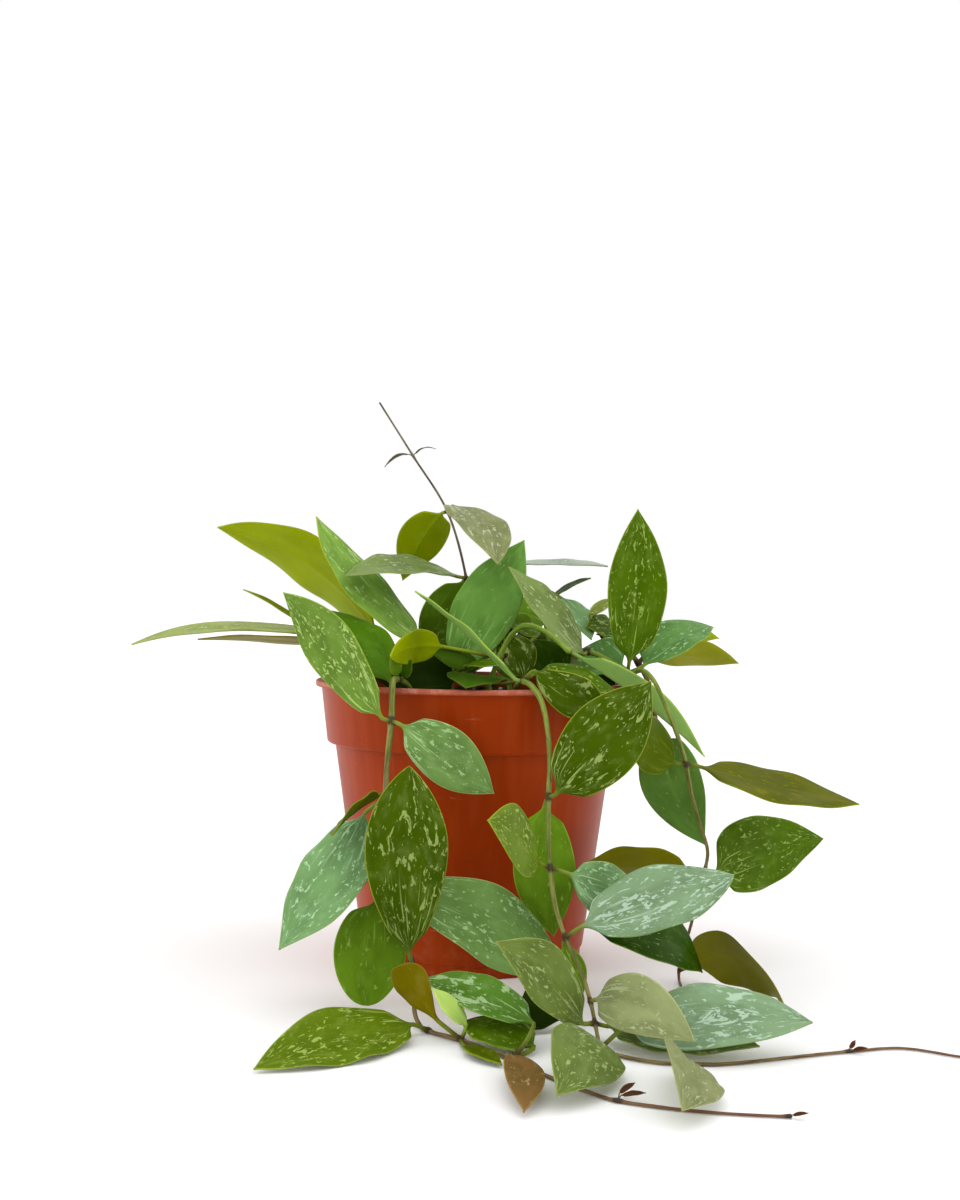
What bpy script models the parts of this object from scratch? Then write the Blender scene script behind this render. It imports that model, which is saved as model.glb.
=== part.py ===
"""A trailing hoya in a 12 cm plastic nursery pot.

Sizes and places are in millimetres and are scaled to metres as they become meshes. The origin is
the middle of the pot's underside, +Z is up and the front is towards -Y. Three vines leave the
soil, hang over the rim and run on along the surface that the pot stands on; the other stems stay
in the crown. A leaf is a thin blade between a base and a tip, and its stalk ends just short of
the knot that it grows from.
"""

import math
from typing import NamedTuple

import bmesh
import bpy
import numpy as np

MM = 0.001
CLEARANCE = 0.3

# Pot: a turned plastic shell with a flat lip, a wide band under it and a foot ring.
POT_HEIGHT = 104.2
LIP_RADIUS = 60.0
LIP_HEIGHT = 2.1
WALL = 1.3
BAND_RADIUS_TOP = 57.9
BAND_RADIUS_BOTTOM = 55.5
BAND_BOTTOM = 81.0
BODY_RADIUS_TOP = 52.6
BODY_RADIUS_BOTTOM = 41.9
FOOT_RADIUS = 40.8
FOOT_HEIGHT = 5.0
FOOT_WIDTH = 4.8
FLOOR_RISE = 1.2
PAD_RADIUS = 12.0
DRAIN_COUNT = 6
DRAIN_RADIUS = 4.5
DRAIN_CIRCLE = 24.0
TURN_STEPS = 48
HOLE_SIDES = 12
EDGE = 0.5
STEP_EDGE = 0.8

# Soil: fills the pot to just under the band's top, with a slot around each stem's foot.
SOIL_TOP = 98.0
SOIL_CROWN = 0.8
SOIL_EDGE = 6.0
SOIL_GAP = CLEARANCE + 0.05
SLOT_GAP = CLEARANCE + 0.1
STEM_FOOT = 90.0

# Stems: tubes that swell at each knot and thin out at a growing tip.
STEM_SPACING = 5.0
TAPER_POWER = 1.2
KNOT_SWELL = 1.35
KNOT_REACH = 0.6
FLOOR_GAP = 0.1

# Leaves: blade rows along the midrib and stalk rows before them.
LEAF_THICKNESS = 1.2
BLADE_ROWS = 8
STALK_ROWS = 3
STALK_WIDTH = 1.5
STALK_GAP = 0.8
STALK_SQUARENESS = 0.8
STALK_REACH = 0.1
TIP_WIDTH = 0.8
BASE_FULLNESS = 0.6
TIP_FULLNESS = 0.5


class Leaf(NamedTuple):
    """A leaf: its knot, the ends of its blade, and where its upper side faces (azimuth, elevation).

    Arch and sway are the midrib's rise and sideways bow as shares of the blade's length, fold is
    how far each half lifts in degrees, peak is where the blade is widest, and blunt fills its tip.
    """

    knot: tuple
    base: tuple
    tip: tuple
    faces: tuple
    width: float
    arch: float = 0.05
    sway: float = 0.0
    fold: float = 5.0
    peak: float = 0.46
    blunt: float = 0.15


class Stem(NamedTuple):
    """A stem: its radius, the points that it passes through, the radius at its tip, its leaves."""

    radius: float
    route: list
    tip_radius: float
    leaves: list


TERRACOTTA = (0.44, 0.075, 0.02)
EARTH = (0.035, 0.018, 0.010)
BARK = (0.16, 0.17, 0.07)
GREEN = (0.10, 0.22, 0.05)

STEMS = {
    "vine_left": Stem(
        1.15,
        [(-21, -36, 99), (-24, -43, 105), (-27, -50, 107), (-28, -58, 107), (-28, -63, 101.5),
         (-28, -66.5, 94), (-29, -70, 81), (-29.5, -73, 68.5), (-30, -78, 52), (-29, -83, 38),
         (-24, -87, 28), (-19.5, -91, 18), (-18.5, -96, 8), (-17.5, -102, 3), (-13.5, -108.5, 0),
         (-3, -118.5, 0), (6, -129, 0), (12, -137.5, 0), (25, -157, 0), (35, -169, 0),
         (40, -173.5, 0), (56, -180, 0), (69, -183, 0), (84.5, -185, 0)],
        0.4,
        [
            Leaf((-27, -50, 107), (-29, -49.5, 106), (-55, -21, 131), (-70, 60), 26, 0.05, -0.03),
            Leaf((-28, -66.5, 94), (-31, -68, 95), (-68, -39, 137), (-130, 0), 22, 0, 0.02, 0,
                 0.5),
            Leaf((-28, -66.5, 94), (-24.5, -70, 93), (7, -61, 69), (-70, 10), 20),
            Leaf((-29.5, -73, 68.5), (-36, -75, 64), (-61, -104, 25), (-105, 45), 25, 0, -0.04, 0),
            Leaf((-29, -83, 38), (-32, -81, 36), (-34, -82, 1.5), (-80, 15), 24, 0.1, 0.03,
                 blunt=0.6),
            Leaf((-29, -83, 38), (-24.5, -86, 41), (30, -77, 10), (-60, 30), 28, 0.06, -0.03, 6,
                 0.53, 0.28),
            Leaf((-19.5, -91, 18), (-20, -94.5, 21), (-21, -87, 81), (-85, 5), 27, 0.07, -0.02, 7,
                 0.56, 0.3),
            Leaf((-13.5, -108.5, 1), (-18, -111, 3.5), (-62, -151, 1.5), (-55, 65), 24, 0.04, 0, 8),
            Leaf((-3, -118.5, 1), (-10, -118.5, 6.5), (-22, -115, 23), (90, 30), 12.5, 0.05,
                 0.06, 4, 0.72, 0.8),
            Leaf((12, -137.5, 1), (19, -126, 8), (-15.5, -98, 14.5), (-100, 55), 14.5, 0.08, 0,
                 9, 0.45, 0.26),
            Leaf((12, -137.5, 1), (10.5, -146, 4.5), (14, -188, 2), (-90, 72), 11, 0.05, -0.06,
                 4, 0.4, 0.15),
        ],
    ),
    "vine_front": Stem(
        1.0,
        [(13, -40, 99), (14.5, -47, 104.5), (16.5, -55, 107), (19.5, -61, 106), (23, -66.5, 100.5),
         (25, -70, 90), (25.5, -73, 80), (25, -76, 70), (25, -79, 59), (25.5, -83, 47.5),
         (27, -89, 36), (30, -95.5, 27.5), (34.5, -103, 18.5), (37, -111, 11), (38, -117, 6),
         (38.5, -122, 3), (39, -127, 0), (46, -134, 0), (55.5, -139, 0), (62, -139.5, 0),
         (73, -140, 0), (95, -132.5, 0), (114, -126, 0), (131, -122, 0), (146, -130, 0),
         (158, -137, 0), (168, -140, 0)],
        0.35,
        [
            Leaf((16.5, -55, 107), (14, -57.5, 108), (-21, -49, 138), (9, 48), 17, 0.02, 0, 3),
            Leaf((16.5, -55, 107), (20.5, -56.5, 111), (47, -56, 97), (-80, 0), 15, 0.1, 0.05, 6,
                 0.55),
            Leaf((25, -76, 70), (27, -79, 71), (60, -65, 108), (-85, 15), 26, 0.06, 0.01, 3),
            Leaf((25, -76, 70), (24, -72, 67), (28, -65, 21), (-90, -10), 21, 0.06, 0.04),
            Leaf((25.5, -83, 47.5), (21.5, -83, 49.5), (5, -122, 69), (-20, 10), 22, 0.02, 0.02, 3),
            Leaf((25.5, -83, 47.5), (31.5, -84.5, 46), (61, -56, 30), (-40, 10), 20, 0.03, 0.04, 3),
            Leaf((30, -95.5, 27.5), (34.5, -98.5, 31.5), (86, -81, 45), (-90, 45), 24, 0.07, 0.03,
                 blunt=0.28),
            Leaf((30, -95.5, 27.5), (36.5, -92.5, 31), (79, -64, 9), (-40, 35), 24, 0.12, -0.03,
                 10),
            Leaf((37, -111, 11), (38.5, -114, 12.5), (64.5, -146, 9), (-140, 30), 18, 0.1, -0.07,
                 10, 0.44, 0.25),
            Leaf((38, -117, 6), (34, -118, 6), (7, -135, 35), (-45, 15), 20, 0.07, 0.03, 5, 0.5,
                 0.05),
            Leaf((38, -117, 6), (42, -115, 4.5), (86, -131.5, 3.2), (-105, 60), 21, 0.07, 0.01),
            Leaf((39, -127, 1), (46, -124, 6.5), (102, -131, 11), (-105, 55), 25, 0.06, 0.01, 4,
                 0.44, 0.22),
            Leaf((39, -127, 1), (37.5, -132, 5), (23, -184, 5.5), (-15, 60), 23, 0.09, 0, 0),
            Leaf((62, -139.5, 1), (60.5, -145, 4), (54.5, -198, 6.5), (-5, 50), 21, 0.08, 0.01,
                 8, 0.5),
        ],
    ),
    "vine_right": Stem(
        1.15,
        [(25, 1, 99), (29, -3, 109), (35, -9, 115), (42, -14.5, 116), (50, -18, 112.5),
         (56.5, -20.5, 108.5), (60.5, -32, 110), (63.5, -42.5, 107), (66.5, -46, 100.5),
         (70.5, -46, 91), (74, -42.5, 82), (75.5, -39.5, 77.5), (78, -37, 66.5), (81.5, -36.5, 54.5),
         (84, -37, 46), (83, -37.5, 39), (79, -37, 22), (75.5, -37.5, 9), (74, -38.5, 3.5),
         (73.5, -44, 0), (73, -56, 0), (71, -68, 0)],
        0.42,
        [
            Leaf((42, -14.5, 116), (40, -19, 115), (12, -31, 147), (-45, 25), 18, 0.04, -0.03, 8,
                 0.42),
            Leaf((56.5, -20.5, 108.5), (56.5, -23.5, 112), (60, -17, 169), (-75, 5), 23, 0.06, 0, 3),
            Leaf((56.5, -20.5, 108.5), (62, -21, 111), (92, 7, 125), (-85, 60), 20, 0.1, -0.03, 7),
            Leaf((56.5, -20.5, 108.5), (55, -16, 110.5), (39, -4, 115.5), (-95, 38), 19, 0.05),
            Leaf((75.5, -39.5, 77.5), (81, -36.5, 76), (139, -34, 63), (-65, 65), 25, 0, 0.03, 0),
            Leaf((75.5, -39.5, 77.5), (72, -40.5, 77.5), (57, -57, 97), (140, 10), 19, 0.08, 0.08),
            Leaf((83, -37.5, 39), (87, -36, 38), (133, -2, 45), (-55, 15), 27, -0.03, -0.04, -5, 0.4,
                 0.25),
            Leaf((83, -37.5, 39), (78.5, -37.5, 38.5), (36, -36, 38), (90, 50), 22, 0.06, 0, 7),
            Leaf((74, -38.5, 3.5), (79, -40.5, 5.5), (102, -92, 4), (25, 35), 27, 0.12, 0.07, 0,
                 0.42, 0.3),
        ],
    ),
    "stem_left": Stem(
        1.15,
        [(-29, 4, 99), (-32, 3, 108), (-36, 2, 118), (-42, -1, 119.5), (-48, -4, 118.5),
         (-51, -5.5, 118)],
        0.8,
        [
            Leaf((-36, 2, 118), (-37.5, 3.5, 122), (-101, 17, 162), (50, 35), 31, 0.1, -0.035, 0,
                 0.44, 0.21),
            Leaf((-48, -4, 118.5), (-49, -7, 119.5), (-126, -22, 118), (-90, 85), 30, 0.05, 0.04, 5,
                 0.5, 0.2),
            Leaf((-48, -4, 118.5), (-49, -8, 117), (-103, -14, 119.5), (85, 79), 18, 0.02, 0, 0),
        ],
    ),
    "stem_middle": Stem(
        1.15,
        [(-8.5, -24, 99), (-9, -23, 106), (-12.5, -17, 113), (-15.5, -15, 119)],
        1.1,
        [
            Leaf((-9, -23, 106), (-7, -23, 110), (18, -17, 157), (-100, 10), 24),
            Leaf((-15.5, -15, 119), (-19, -17.5, 118.5), (-60, -10, 165), (-35, 40), 27.5, -0.02,
                 -0.04, 0),
        ],
    ),
    "stem_front": Stem(
        1.0,
        [(5.5, -26, 99), (5.5, -26, 104), (9, -28.5, 114), (13, -31.5, 122), (18, -36, 126),
         (25, -41, 124), (33, -45.5, 117.5)],
        0.9,
        [
            Leaf((5.5, -26, 104), (4, -29, 107), (-3, -67, 105.5), (-60, 82), 21, 0.04, 0, 3),
            Leaf((9, -28.5, 114), (-12, -31, 118), (-29, -65, 116), (155, 10), 12.5, 0.04, -0.03,
                 0, 0.45, 0.4),
            Leaf((33, -45.5, 117.5), (36.5, -47, 115.5), (86, -14, 77), (57, 32), 14, 0.04, 0, 42),
        ],
    ),
    "stem_right": Stem(
        1.0,
        [(37, 4, 99), (43, 3, 111), (50, 3, 119), (56, 0, 118), (62, -4, 111), (66.5, -9, 101),
         (68, -11, 89)],
        0.9,
        [
            Leaf((50, 3, 119), (50, 8, 122), (84, 52, 115), (150, 75), 24, 0.05, 0, 7, 0.42, 0.1),
            Leaf((56, 0, 118), (63, 5, 116), (106, 33, 110), (110, 50), 17, 0.02, 0, 2),
            Leaf((68, -11, 89), (69, -13, 85), (84, -30, 47), (-110, 15), 23, 0.12, 0.03, 10, 0.42),
        ],
    ),
    "stem_rear": Stem(
        1.0,
        [(14, 25, 99), (13, 29, 122), (13, 32, 147)],
        0.9,
        [
            Leaf((13, 32, 147), (15, 29, 149), (50, -4, 148), (-125, 80), 13, 0.02, 0.01, 2),
        ],
    ),
    "twig": Stem(
        0.6,
        [(0, 6, 99), (-1, 6, 120), (-3.5, 5, 143), (-11, 6, 168.5), (-24.5, 9, 190),
         (-37.5, 10, 210.3)],
        0.35,
        [
            Leaf((-3.5, 5, 143), (-7, 3, 143.5), (-47, -29, 143), (-55, 70), 22, 0.07, 0.01, 6),
            Leaf((-11, 6, 168.5), (-13, 9, 168), (-29, 29, 142), (85, 45), 19, 0.09, -0.02, 8, 0.44),
            Leaf((-11, 6, 168.5), (-9, 4, 170.5), (8, -38, 148), (-55, 65), 23, 0.07, -0.02, 6, 0.46,
                 0.2),
        ],
    ),
}


def clear_scene():
    for obj in list(bpy.data.objects):
        bpy.data.objects.remove(obj)


def new_collection(name):
    collection = bpy.data.collections.new(name)
    bpy.context.scene.collection.children.link(collection)
    return collection


def material(name, colour, roughness):
    made = bpy.data.materials.new(name)
    made.use_nodes = True
    shader = made.node_tree.nodes["Principled BSDF"]
    shader.inputs["Base Color"].default_value = (*colour, 1)
    shader.inputs["Roughness"].default_value = roughness
    return made


def add_object(name, data, collection, finish):
    obj = bpy.data.objects.new(name, data)
    data.materials.append(finish)
    collection.objects.link(obj)
    return obj


def unit(vector):
    return vector / np.linalg.norm(vector, axis=-1, keepdims=True)


def inner_wall():
    """The pot's inner outline from its floor up to the lip: the outer one moved in by the wall."""
    step = BAND_BOTTOM + WALL
    return [
        (FOOT_RADIUS - WALL, FLOOR_RISE + WALL),
        (BODY_RADIUS_TOP - WALL, step - EDGE),
        (BAND_RADIUS_BOTTOM - WALL, step + EDGE),
        (BAND_RADIUS_TOP - WALL, POT_HEIGHT - LIP_HEIGHT),
        (BAND_RADIUS_TOP - WALL / 2, POT_HEIGHT),
    ]


def outer_wall():
    """The pot's outer outline from the lip down to the middle of the underside."""
    foot_inside = FOOT_RADIUS - FOOT_WIDTH
    return [
        (LIP_RADIUS - EDGE, POT_HEIGHT),
        (LIP_RADIUS, POT_HEIGHT - EDGE),
        (LIP_RADIUS, POT_HEIGHT - LIP_HEIGHT),
        (BAND_RADIUS_TOP, POT_HEIGHT - LIP_HEIGHT - EDGE),
        (BAND_RADIUS_BOTTOM, BAND_BOTTOM + STEP_EDGE),
        (BAND_RADIUS_BOTTOM - STEP_EDGE, BAND_BOTTOM),
        (BODY_RADIUS_TOP, BAND_BOTTOM - EDGE),
        (BODY_RADIUS_BOTTOM, FOOT_HEIGHT),
        (BODY_RADIUS_BOTTOM - EDGE, FOOT_HEIGHT - EDGE),
        (FOOT_RADIUS, EDGE),
        (FOOT_RADIUS - EDGE, 0),
        (foot_inside, 0),
        (foot_inside - STEP_EDGE, FLOOR_RISE),
        (PAD_RADIUS + STEP_EDGE, FLOOR_RISE),
        (PAD_RADIUS, 0),
    ]


def turned(name, outline, collection, finish):
    """A solid of revolution: the outline, from axis to axis, screwed once about Z."""
    mesh = bpy.data.meshes.new(name)
    points = [(radius * MM, 0, height * MM) for radius, height in outline]
    mesh.from_pydata(points, [(i, i + 1) for i in range(len(points) - 1)], [])
    obj = add_object(name, mesh, collection, finish)
    screw = obj.modifiers.new("turn", "SCREW")
    screw.steps = TURN_STEPS
    screw.render_steps = TURN_STEPS
    screw.use_merge_vertices = True
    screw.merge_threshold = 0.00001
    screw.use_smooth_shade = True
    return obj


def cut_posts(obj, places, radius, bottom, top, cutters):
    """Cuts upright round holes through obj at the given (x, y) places."""
    mesh = bpy.data.meshes.new(obj.name + "_holes")
    build = bmesh.new()
    for x, y in places:
        made = bmesh.ops.create_cone(
            build, cap_ends=True, segments=HOLE_SIDES, radius1=radius * MM, radius2=radius * MM,
            depth=(top - bottom) * MM,
        )
        middle = (x * MM, y * MM, (top + bottom) / 2 * MM)
        bmesh.ops.translate(build, verts=made["verts"], vec=middle)
    build.to_mesh(mesh)
    build.free()
    cutter = bpy.data.objects.new(mesh.name, mesh)
    cutter.hide_render = True
    cutter.display_type = "WIRE"
    cutters.objects.link(cutter)
    cut = obj.modifiers.new("holes", "BOOLEAN")
    cut.operation = "DIFFERENCE"
    cut.object = cutter


def build_pot(collection, cutters):
    plastic = material("terracotta_plastic", TERRACOTTA, 0.45)
    outline = [(0, FLOOR_RISE + WALL), *inner_wall(), *outer_wall(), (0, 0)]
    pot = turned("pot", outline, collection, plastic)
    turns = [2 * math.pi * (k + 0.5) / DRAIN_COUNT for k in range(DRAIN_COUNT)]
    drains = [(DRAIN_CIRCLE * math.cos(turn), DRAIN_CIRCLE * math.sin(turn)) for turn in turns]
    cut_posts(pot, drains, DRAIN_RADIUS, -WALL, FLOOR_RISE + 2 * WALL, cutters)


def build_soil(collection, cutters):
    """Soil turned to the pot's inner outline, less the clearance, with a slot for each foot."""
    earth = material("soil", EARTH, 0.95)
    inside = [(radius - SOIL_GAP, height + SOIL_GAP) for radius, height in inner_wall()[:3]]
    low, high = inner_wall()[2:4]
    share = (SOIL_TOP - low[1]) / (high[1] - low[1])
    edge = low[0] + (high[0] - low[0]) * share - SOIL_GAP
    crown = [(0, 0), (edge - SOIL_EDGE, SOIL_CROWN / 2), (edge, SOIL_CROWN)]
    outline = [(radius, SOIL_TOP - drop) for radius, drop in crown]
    outline += [*reversed(inside), (0, FLOOR_RISE + WALL + SOIL_GAP)]
    soil = turned("soil", outline, collection, earth)
    for stem in STEMS.values():
        foot = stem.route[0][:2]
        slot = stem.radius + SLOT_GAP
        cut_posts(soil, [foot], slot, STEM_FOOT - CLEARANCE, SOIL_TOP + WALL, cutters)


def smooth_route(route):
    """Points along a curve through the route, and which of them are the route's own.

    Each stretch is a cubic. Its slope at a route point is the run from the point before to the
    point after, over the distance travelled between them.
    """
    points = np.array(route, float)
    steps = np.linalg.norm(np.diff(points, axis=0), axis=1)
    along = np.concatenate([[0], np.cumsum(steps)])
    before = np.concatenate([[0], np.arange(len(points) - 1)])
    after = np.minimum(np.arange(len(points)) + 1, len(points) - 1)
    slopes = (points[after] - points[before]) / (along[after] - along[before])[:, None]
    curve = []
    own = []
    for i, step in enumerate(steps):
        count = max(1, round(step / STEM_SPACING))
        t = (np.arange(count) / count)[:, None]
        rise = 3 * t**2 - 2 * t**3
        lift = t**3 - 2 * t**2 + t
        fall = t**3 - t**2
        curve.append(points[i] * (1 - rise) + points[i + 1] * rise
                     + step * (slopes[i] * lift + slopes[i + 1] * fall))
        own += [True] + [False] * (count - 1)
    return np.concatenate([*curve, points[-1:]]), own + [True]


def taper(share, stem):
    """The stem's radius at shares of its length."""
    return stem.tip_radius + (stem.radius - stem.tip_radius) * (1 - share) ** TAPER_POWER


def build_stem(name, stem, collection, finish):
    """A tube along the stem's route, on a straight foot, swollen at its knots, never below z = 0."""
    points, own = smooth_route(stem.route)
    along = np.concatenate([[0], np.cumsum(np.linalg.norm(np.diff(points, axis=0), axis=1))])
    knots = np.array([leaf.knot for leaf in stem.leaves], float)
    apart = np.linalg.norm((points[:, None] - knots)[:, :, :2], axis=2).min(axis=1)
    at_knot = (apart < KNOT_REACH) & np.array(own)
    radii = taper(along / along[-1], stem) * np.where(at_knot, KNOT_SWELL, 1)
    points[:, 2] = np.maximum(points[:, 2], radii + FLOOR_GAP)
    foot = [(*stem.route[0][:2], STEM_FOOT)]
    points = np.concatenate([foot, points])
    radii = np.concatenate([[stem.radius], radii])
    curve = bpy.data.curves.new(name, "CURVE")
    curve.dimensions = "3D"
    curve.bevel_depth = stem.radius * MM
    curve.bevel_resolution = 2
    curve.use_fill_caps = True
    spline = curve.splines.new("POLY")
    spline.points.add(len(points) - 1)
    for place, point, radius in zip(spline.points, points, radii):
        place.co = (*(point * MM), 1)
        place.radius = radius / stem.radius
    return add_object(name, curve, collection, finish)


def blade_width(along, leaf):
    """Half the blade's width at shares of its length: a sine arch with a round base and a
    pointed tip, widest at the leaf's peak."""
    power = math.log(0.5) / math.log(leaf.peak)
    arch = np.sin(math.pi * along**power).clip(0)
    return leaf.width / 2 * arch ** (BASE_FULLNESS + (TIP_FULLNESS - leaf.blunt) * along)


def stalk_start(knot, base, stem):
    """Where the stalk begins, just outside the stem: nearly square to it, or past a stem's end."""
    route = np.array(stem.route, float)
    here = np.linalg.norm(route - knot, axis=1).argmin()
    last = len(route) - 1
    run = unit(route[min(here + 1, last)] - route[here - 1])
    away = base - knot
    if here < last:
        away -= STALK_SQUARENESS * (away @ run) * run
        steps = np.linalg.norm(np.diff(route, axis=0), axis=1)
        radius = taper(steps[:here].sum() / steps.sum(), stem)
        return knot + unit(away) * (radius * KNOT_SWELL + STALK_GAP)
    return knot + unit(away) * STALK_GAP / (unit(away) @ run)


def leaf_rows(leaf, stem):
    """Midrib points, half widths, and across and upward directions, row by row from the knot.

    The blade's midrib is a shallow parabola over its chord. The stalk is a cubic from the knot's
    surface that meets the blade in line, and it keeps the blade's across direction.
    """
    knot, base, tip = (np.array(place, float) for place in (leaf.knot, leaf.base, leaf.tip))
    azimuth, elevation = (math.radians(angle) for angle in leaf.faces)
    up = np.array([math.cos(azimuth) * math.cos(elevation), math.sin(azimuth) * math.cos(elevation),
                   math.sin(elevation)])
    length = np.linalg.norm(tip - base)
    ahead = (tip - base) / length
    up = unit(up - (up @ ahead) * ahead)
    side = np.cross(ahead, up)
    bow = (up * leaf.arch + side * leaf.sway) * length * 4
    along = np.linspace(0, 1, BLADE_ROWS)[:, None]
    middle = base + (tip - base) * along + bow * along * (1 - along)
    slope = unit(tip - base + bow * (1 - 2 * along))
    upward = unit(up - (slope @ up)[:, None] * slope)
    across = np.cross(slope, upward)
    half = blade_width(along[:, 0], leaf).clip(STALK_WIDTH / 2)
    half[-1] = TIP_WIDTH / 2

    start = stalk_start(knot, base, stem)
    share = (np.arange(STALK_ROWS) / STALK_ROWS)[:, None]
    bend = start + (base - start) / 2 - slope[0] * np.linalg.norm(base - start) * STALK_REACH
    stalk = start * (1 - share) ** 2 + bend * 2 * share * (1 - share) + base * share**2
    way = unit((bend - start) * (1 - share) + (base - bend) * share)
    stalk_across = []
    last = across[0]
    for direction in way[::-1]:
        last = unit(last - (last @ direction) * direction)
        stalk_across.append(last)
    stalk_across = np.array(stalk_across[::-1])
    middle = np.concatenate([stalk, middle])
    half = np.concatenate([np.full(STALK_ROWS, STALK_WIDTH / 2), half])
    upward = np.concatenate([np.cross(stalk_across, way), upward])
    return middle, half, np.concatenate([stalk_across, across]), upward


def build_leaf(name, leaf, stem, collection, finish):
    """A grid bent to the leaf's rows, three points wide with its edges lifted, and thickened."""
    middle, half, across, upward = leaf_rows(leaf, stem)
    rows = len(middle)
    lift = math.radians(leaf.fold)
    mesh = bpy.data.meshes.new(name)
    build = bmesh.new()
    bmesh.ops.create_grid(build, x_segments=rows - 1, y_segments=2, size=1)
    for point in build.verts:
        row = round((point.co.x + 1) / 2 * (rows - 1))
        share = point.co.y
        place = middle[row] + half[row] * (share * math.cos(lift) * across[row]
                                           + abs(share) * math.sin(lift) * upward[row])
        point.co = place * MM
    build.to_mesh(mesh)
    build.free()
    obj = add_object(name, mesh, collection, finish)
    thick = obj.modifiers.new("thickness", "SOLIDIFY")
    thick.thickness = LEAF_THICKNESS * MM
    thick.offset = 0
    mesh.shade_smooth()
    return obj


def main():
    clear_scene()
    plant = new_collection("potted_hoya")
    cutters = new_collection("cutters")
    build_pot(plant, cutters)
    build_soil(plant, cutters)
    bark = material("stem", BARK, 0.6)
    blade = material("leaf", GREEN, 0.4)
    for name, stem in STEMS.items():
        build_stem(name, stem, plant, bark)
        for number, leaf in enumerate(stem.leaves, 1):
            build_leaf(f"leaf_{name}_{number}", leaf, stem, plant, blade)


main()
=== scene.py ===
"""The looks of a trailing hoya in a plastic nursery pot.

Lengths are in millimetres and are scaled to metres as they become meshes. The origin is the middle
of the pot's underside, +Z is up and the front is towards -Y. The pot, the soil, the stems and the
leaves are grids: rings of points carried along a path or turned about the pot's axis, with a fan
over each end.
"""

import math
from typing import NamedTuple

import bpy
import numpy as np
from mathutils import Matrix, Vector


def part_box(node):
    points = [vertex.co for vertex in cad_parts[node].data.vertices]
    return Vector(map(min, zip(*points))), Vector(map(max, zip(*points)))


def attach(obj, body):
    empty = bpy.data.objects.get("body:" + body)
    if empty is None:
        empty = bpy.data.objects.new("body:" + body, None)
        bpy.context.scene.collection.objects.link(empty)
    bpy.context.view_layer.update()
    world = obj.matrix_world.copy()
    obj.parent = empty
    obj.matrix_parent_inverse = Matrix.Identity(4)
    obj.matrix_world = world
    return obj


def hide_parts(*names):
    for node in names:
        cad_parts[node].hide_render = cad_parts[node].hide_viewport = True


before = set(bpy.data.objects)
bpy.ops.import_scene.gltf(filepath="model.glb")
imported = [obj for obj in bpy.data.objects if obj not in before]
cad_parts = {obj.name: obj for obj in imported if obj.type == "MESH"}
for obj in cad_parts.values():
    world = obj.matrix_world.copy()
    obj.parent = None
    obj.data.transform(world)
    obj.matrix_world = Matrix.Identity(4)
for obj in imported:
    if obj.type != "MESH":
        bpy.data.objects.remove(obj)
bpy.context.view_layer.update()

MM = 0.001

# Pot: its height and rim come from the frame; its foot is given here and the steps of its wall are
# its own.
POT_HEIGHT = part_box("pot")[1][2] / MM
LIP_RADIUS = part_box("pot")[1][0] / MM
LIP_HEIGHT = 2.1
WALL = 1.3
BAND_RADIUS_TOP = 57.9
BAND_RADIUS_BOTTOM = 55.5
BAND_BOTTOM = 81.0
BODY_RADIUS_TOP = 52.6
BODY_RADIUS_BOTTOM = 41.9
FOOT_RADIUS = 40.8
FOOT_HEIGHT = 5.0
FOOT_WIDTH = 4.8
FLOOR_RISE = 1.2
PAD_RADIUS = 12.0
DRAIN_COUNT = 6
DRAIN_RADIUS = 4.5
DRAIN_CIRCLE = 24.0
POT_STEPS = 192
CORNER_POINTS = 5

# Soil: a lumpy top strewn with crumbs, fibres and grains of perlite.
SOIL_TOP = 98.0
SOIL_CROWN = 0.8
SOIL_GAP = 0.35
SOIL_STEPS = 160
SOIL_RINGS = 90
CRUMBS = 620
FIBRES = 90
PERLITE = 34

# Stems: tubes that swell at each knot.
STEM_FOOT = 90.0
STEM_SPACING = 1.1
STEM_SIDES = 14
TAPER_POWER = 1.2
KNOT_SWELL = 0.42
KNOT_LENGTH = 1.5
TIP_REACH = (0.68, 0.95)
TIP_RADIUS = 0.5
KNOT_REACH = 0.6
END_ANGLES = (30, 60, 85)
FLOOR_GAP = 0.1

# Leaves: rings along the stalk and the blade, each with points over the top and the underside.
STALK_SPACING = 0.9
STALK_RADIUS = 0.68
STALK_SQUARENESS = 0.8
STALK_REACH = 0.1
BLADE_ROWS = 52
HALF_RING = 11
BLADE_THICKNESS = 1.25
SMALL_LEAF = 7.0
BASE_FULLNESS = 0.6
TIP_FULLNESS = 0.5
TIP_HALF = 0.18
STALK_BLEND = 0.13
GROOVE = 0.2
RIDGE = 0.42
RIB_WIDTH = 0.75
MARGIN_CROWDING = 0.12
LEAF_COLOURS = ("face", "mark", "back", "margin")

# Each leaf draws these between two values: the waves along its margins, and as shares of its
# width, half width and length the waves' height, the cup across it and the curl of its tip.
MARGIN_WAVES = (1.2, 3.2)
WAVE_HEIGHT = (0.012, 0.035)
CUP = (-0.02, 0.05)
TIP_CURL = (-0.03, 0.05)

# Stage: the floor and the camera, in metres and radians, and the lens in millimetres.
FLOOR_REACH = 6.0
FLOOR_LEVEL = -0.0001
BRIGHT_SIDE = (0, 0.75, 0.66)
CAMERA_PLACE = (0, -0.6, 0.1402)
CAMERA_TURNS = (-0.0031, -0.0093, 0.009)
CAMERA_LENS = 47.29


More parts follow.
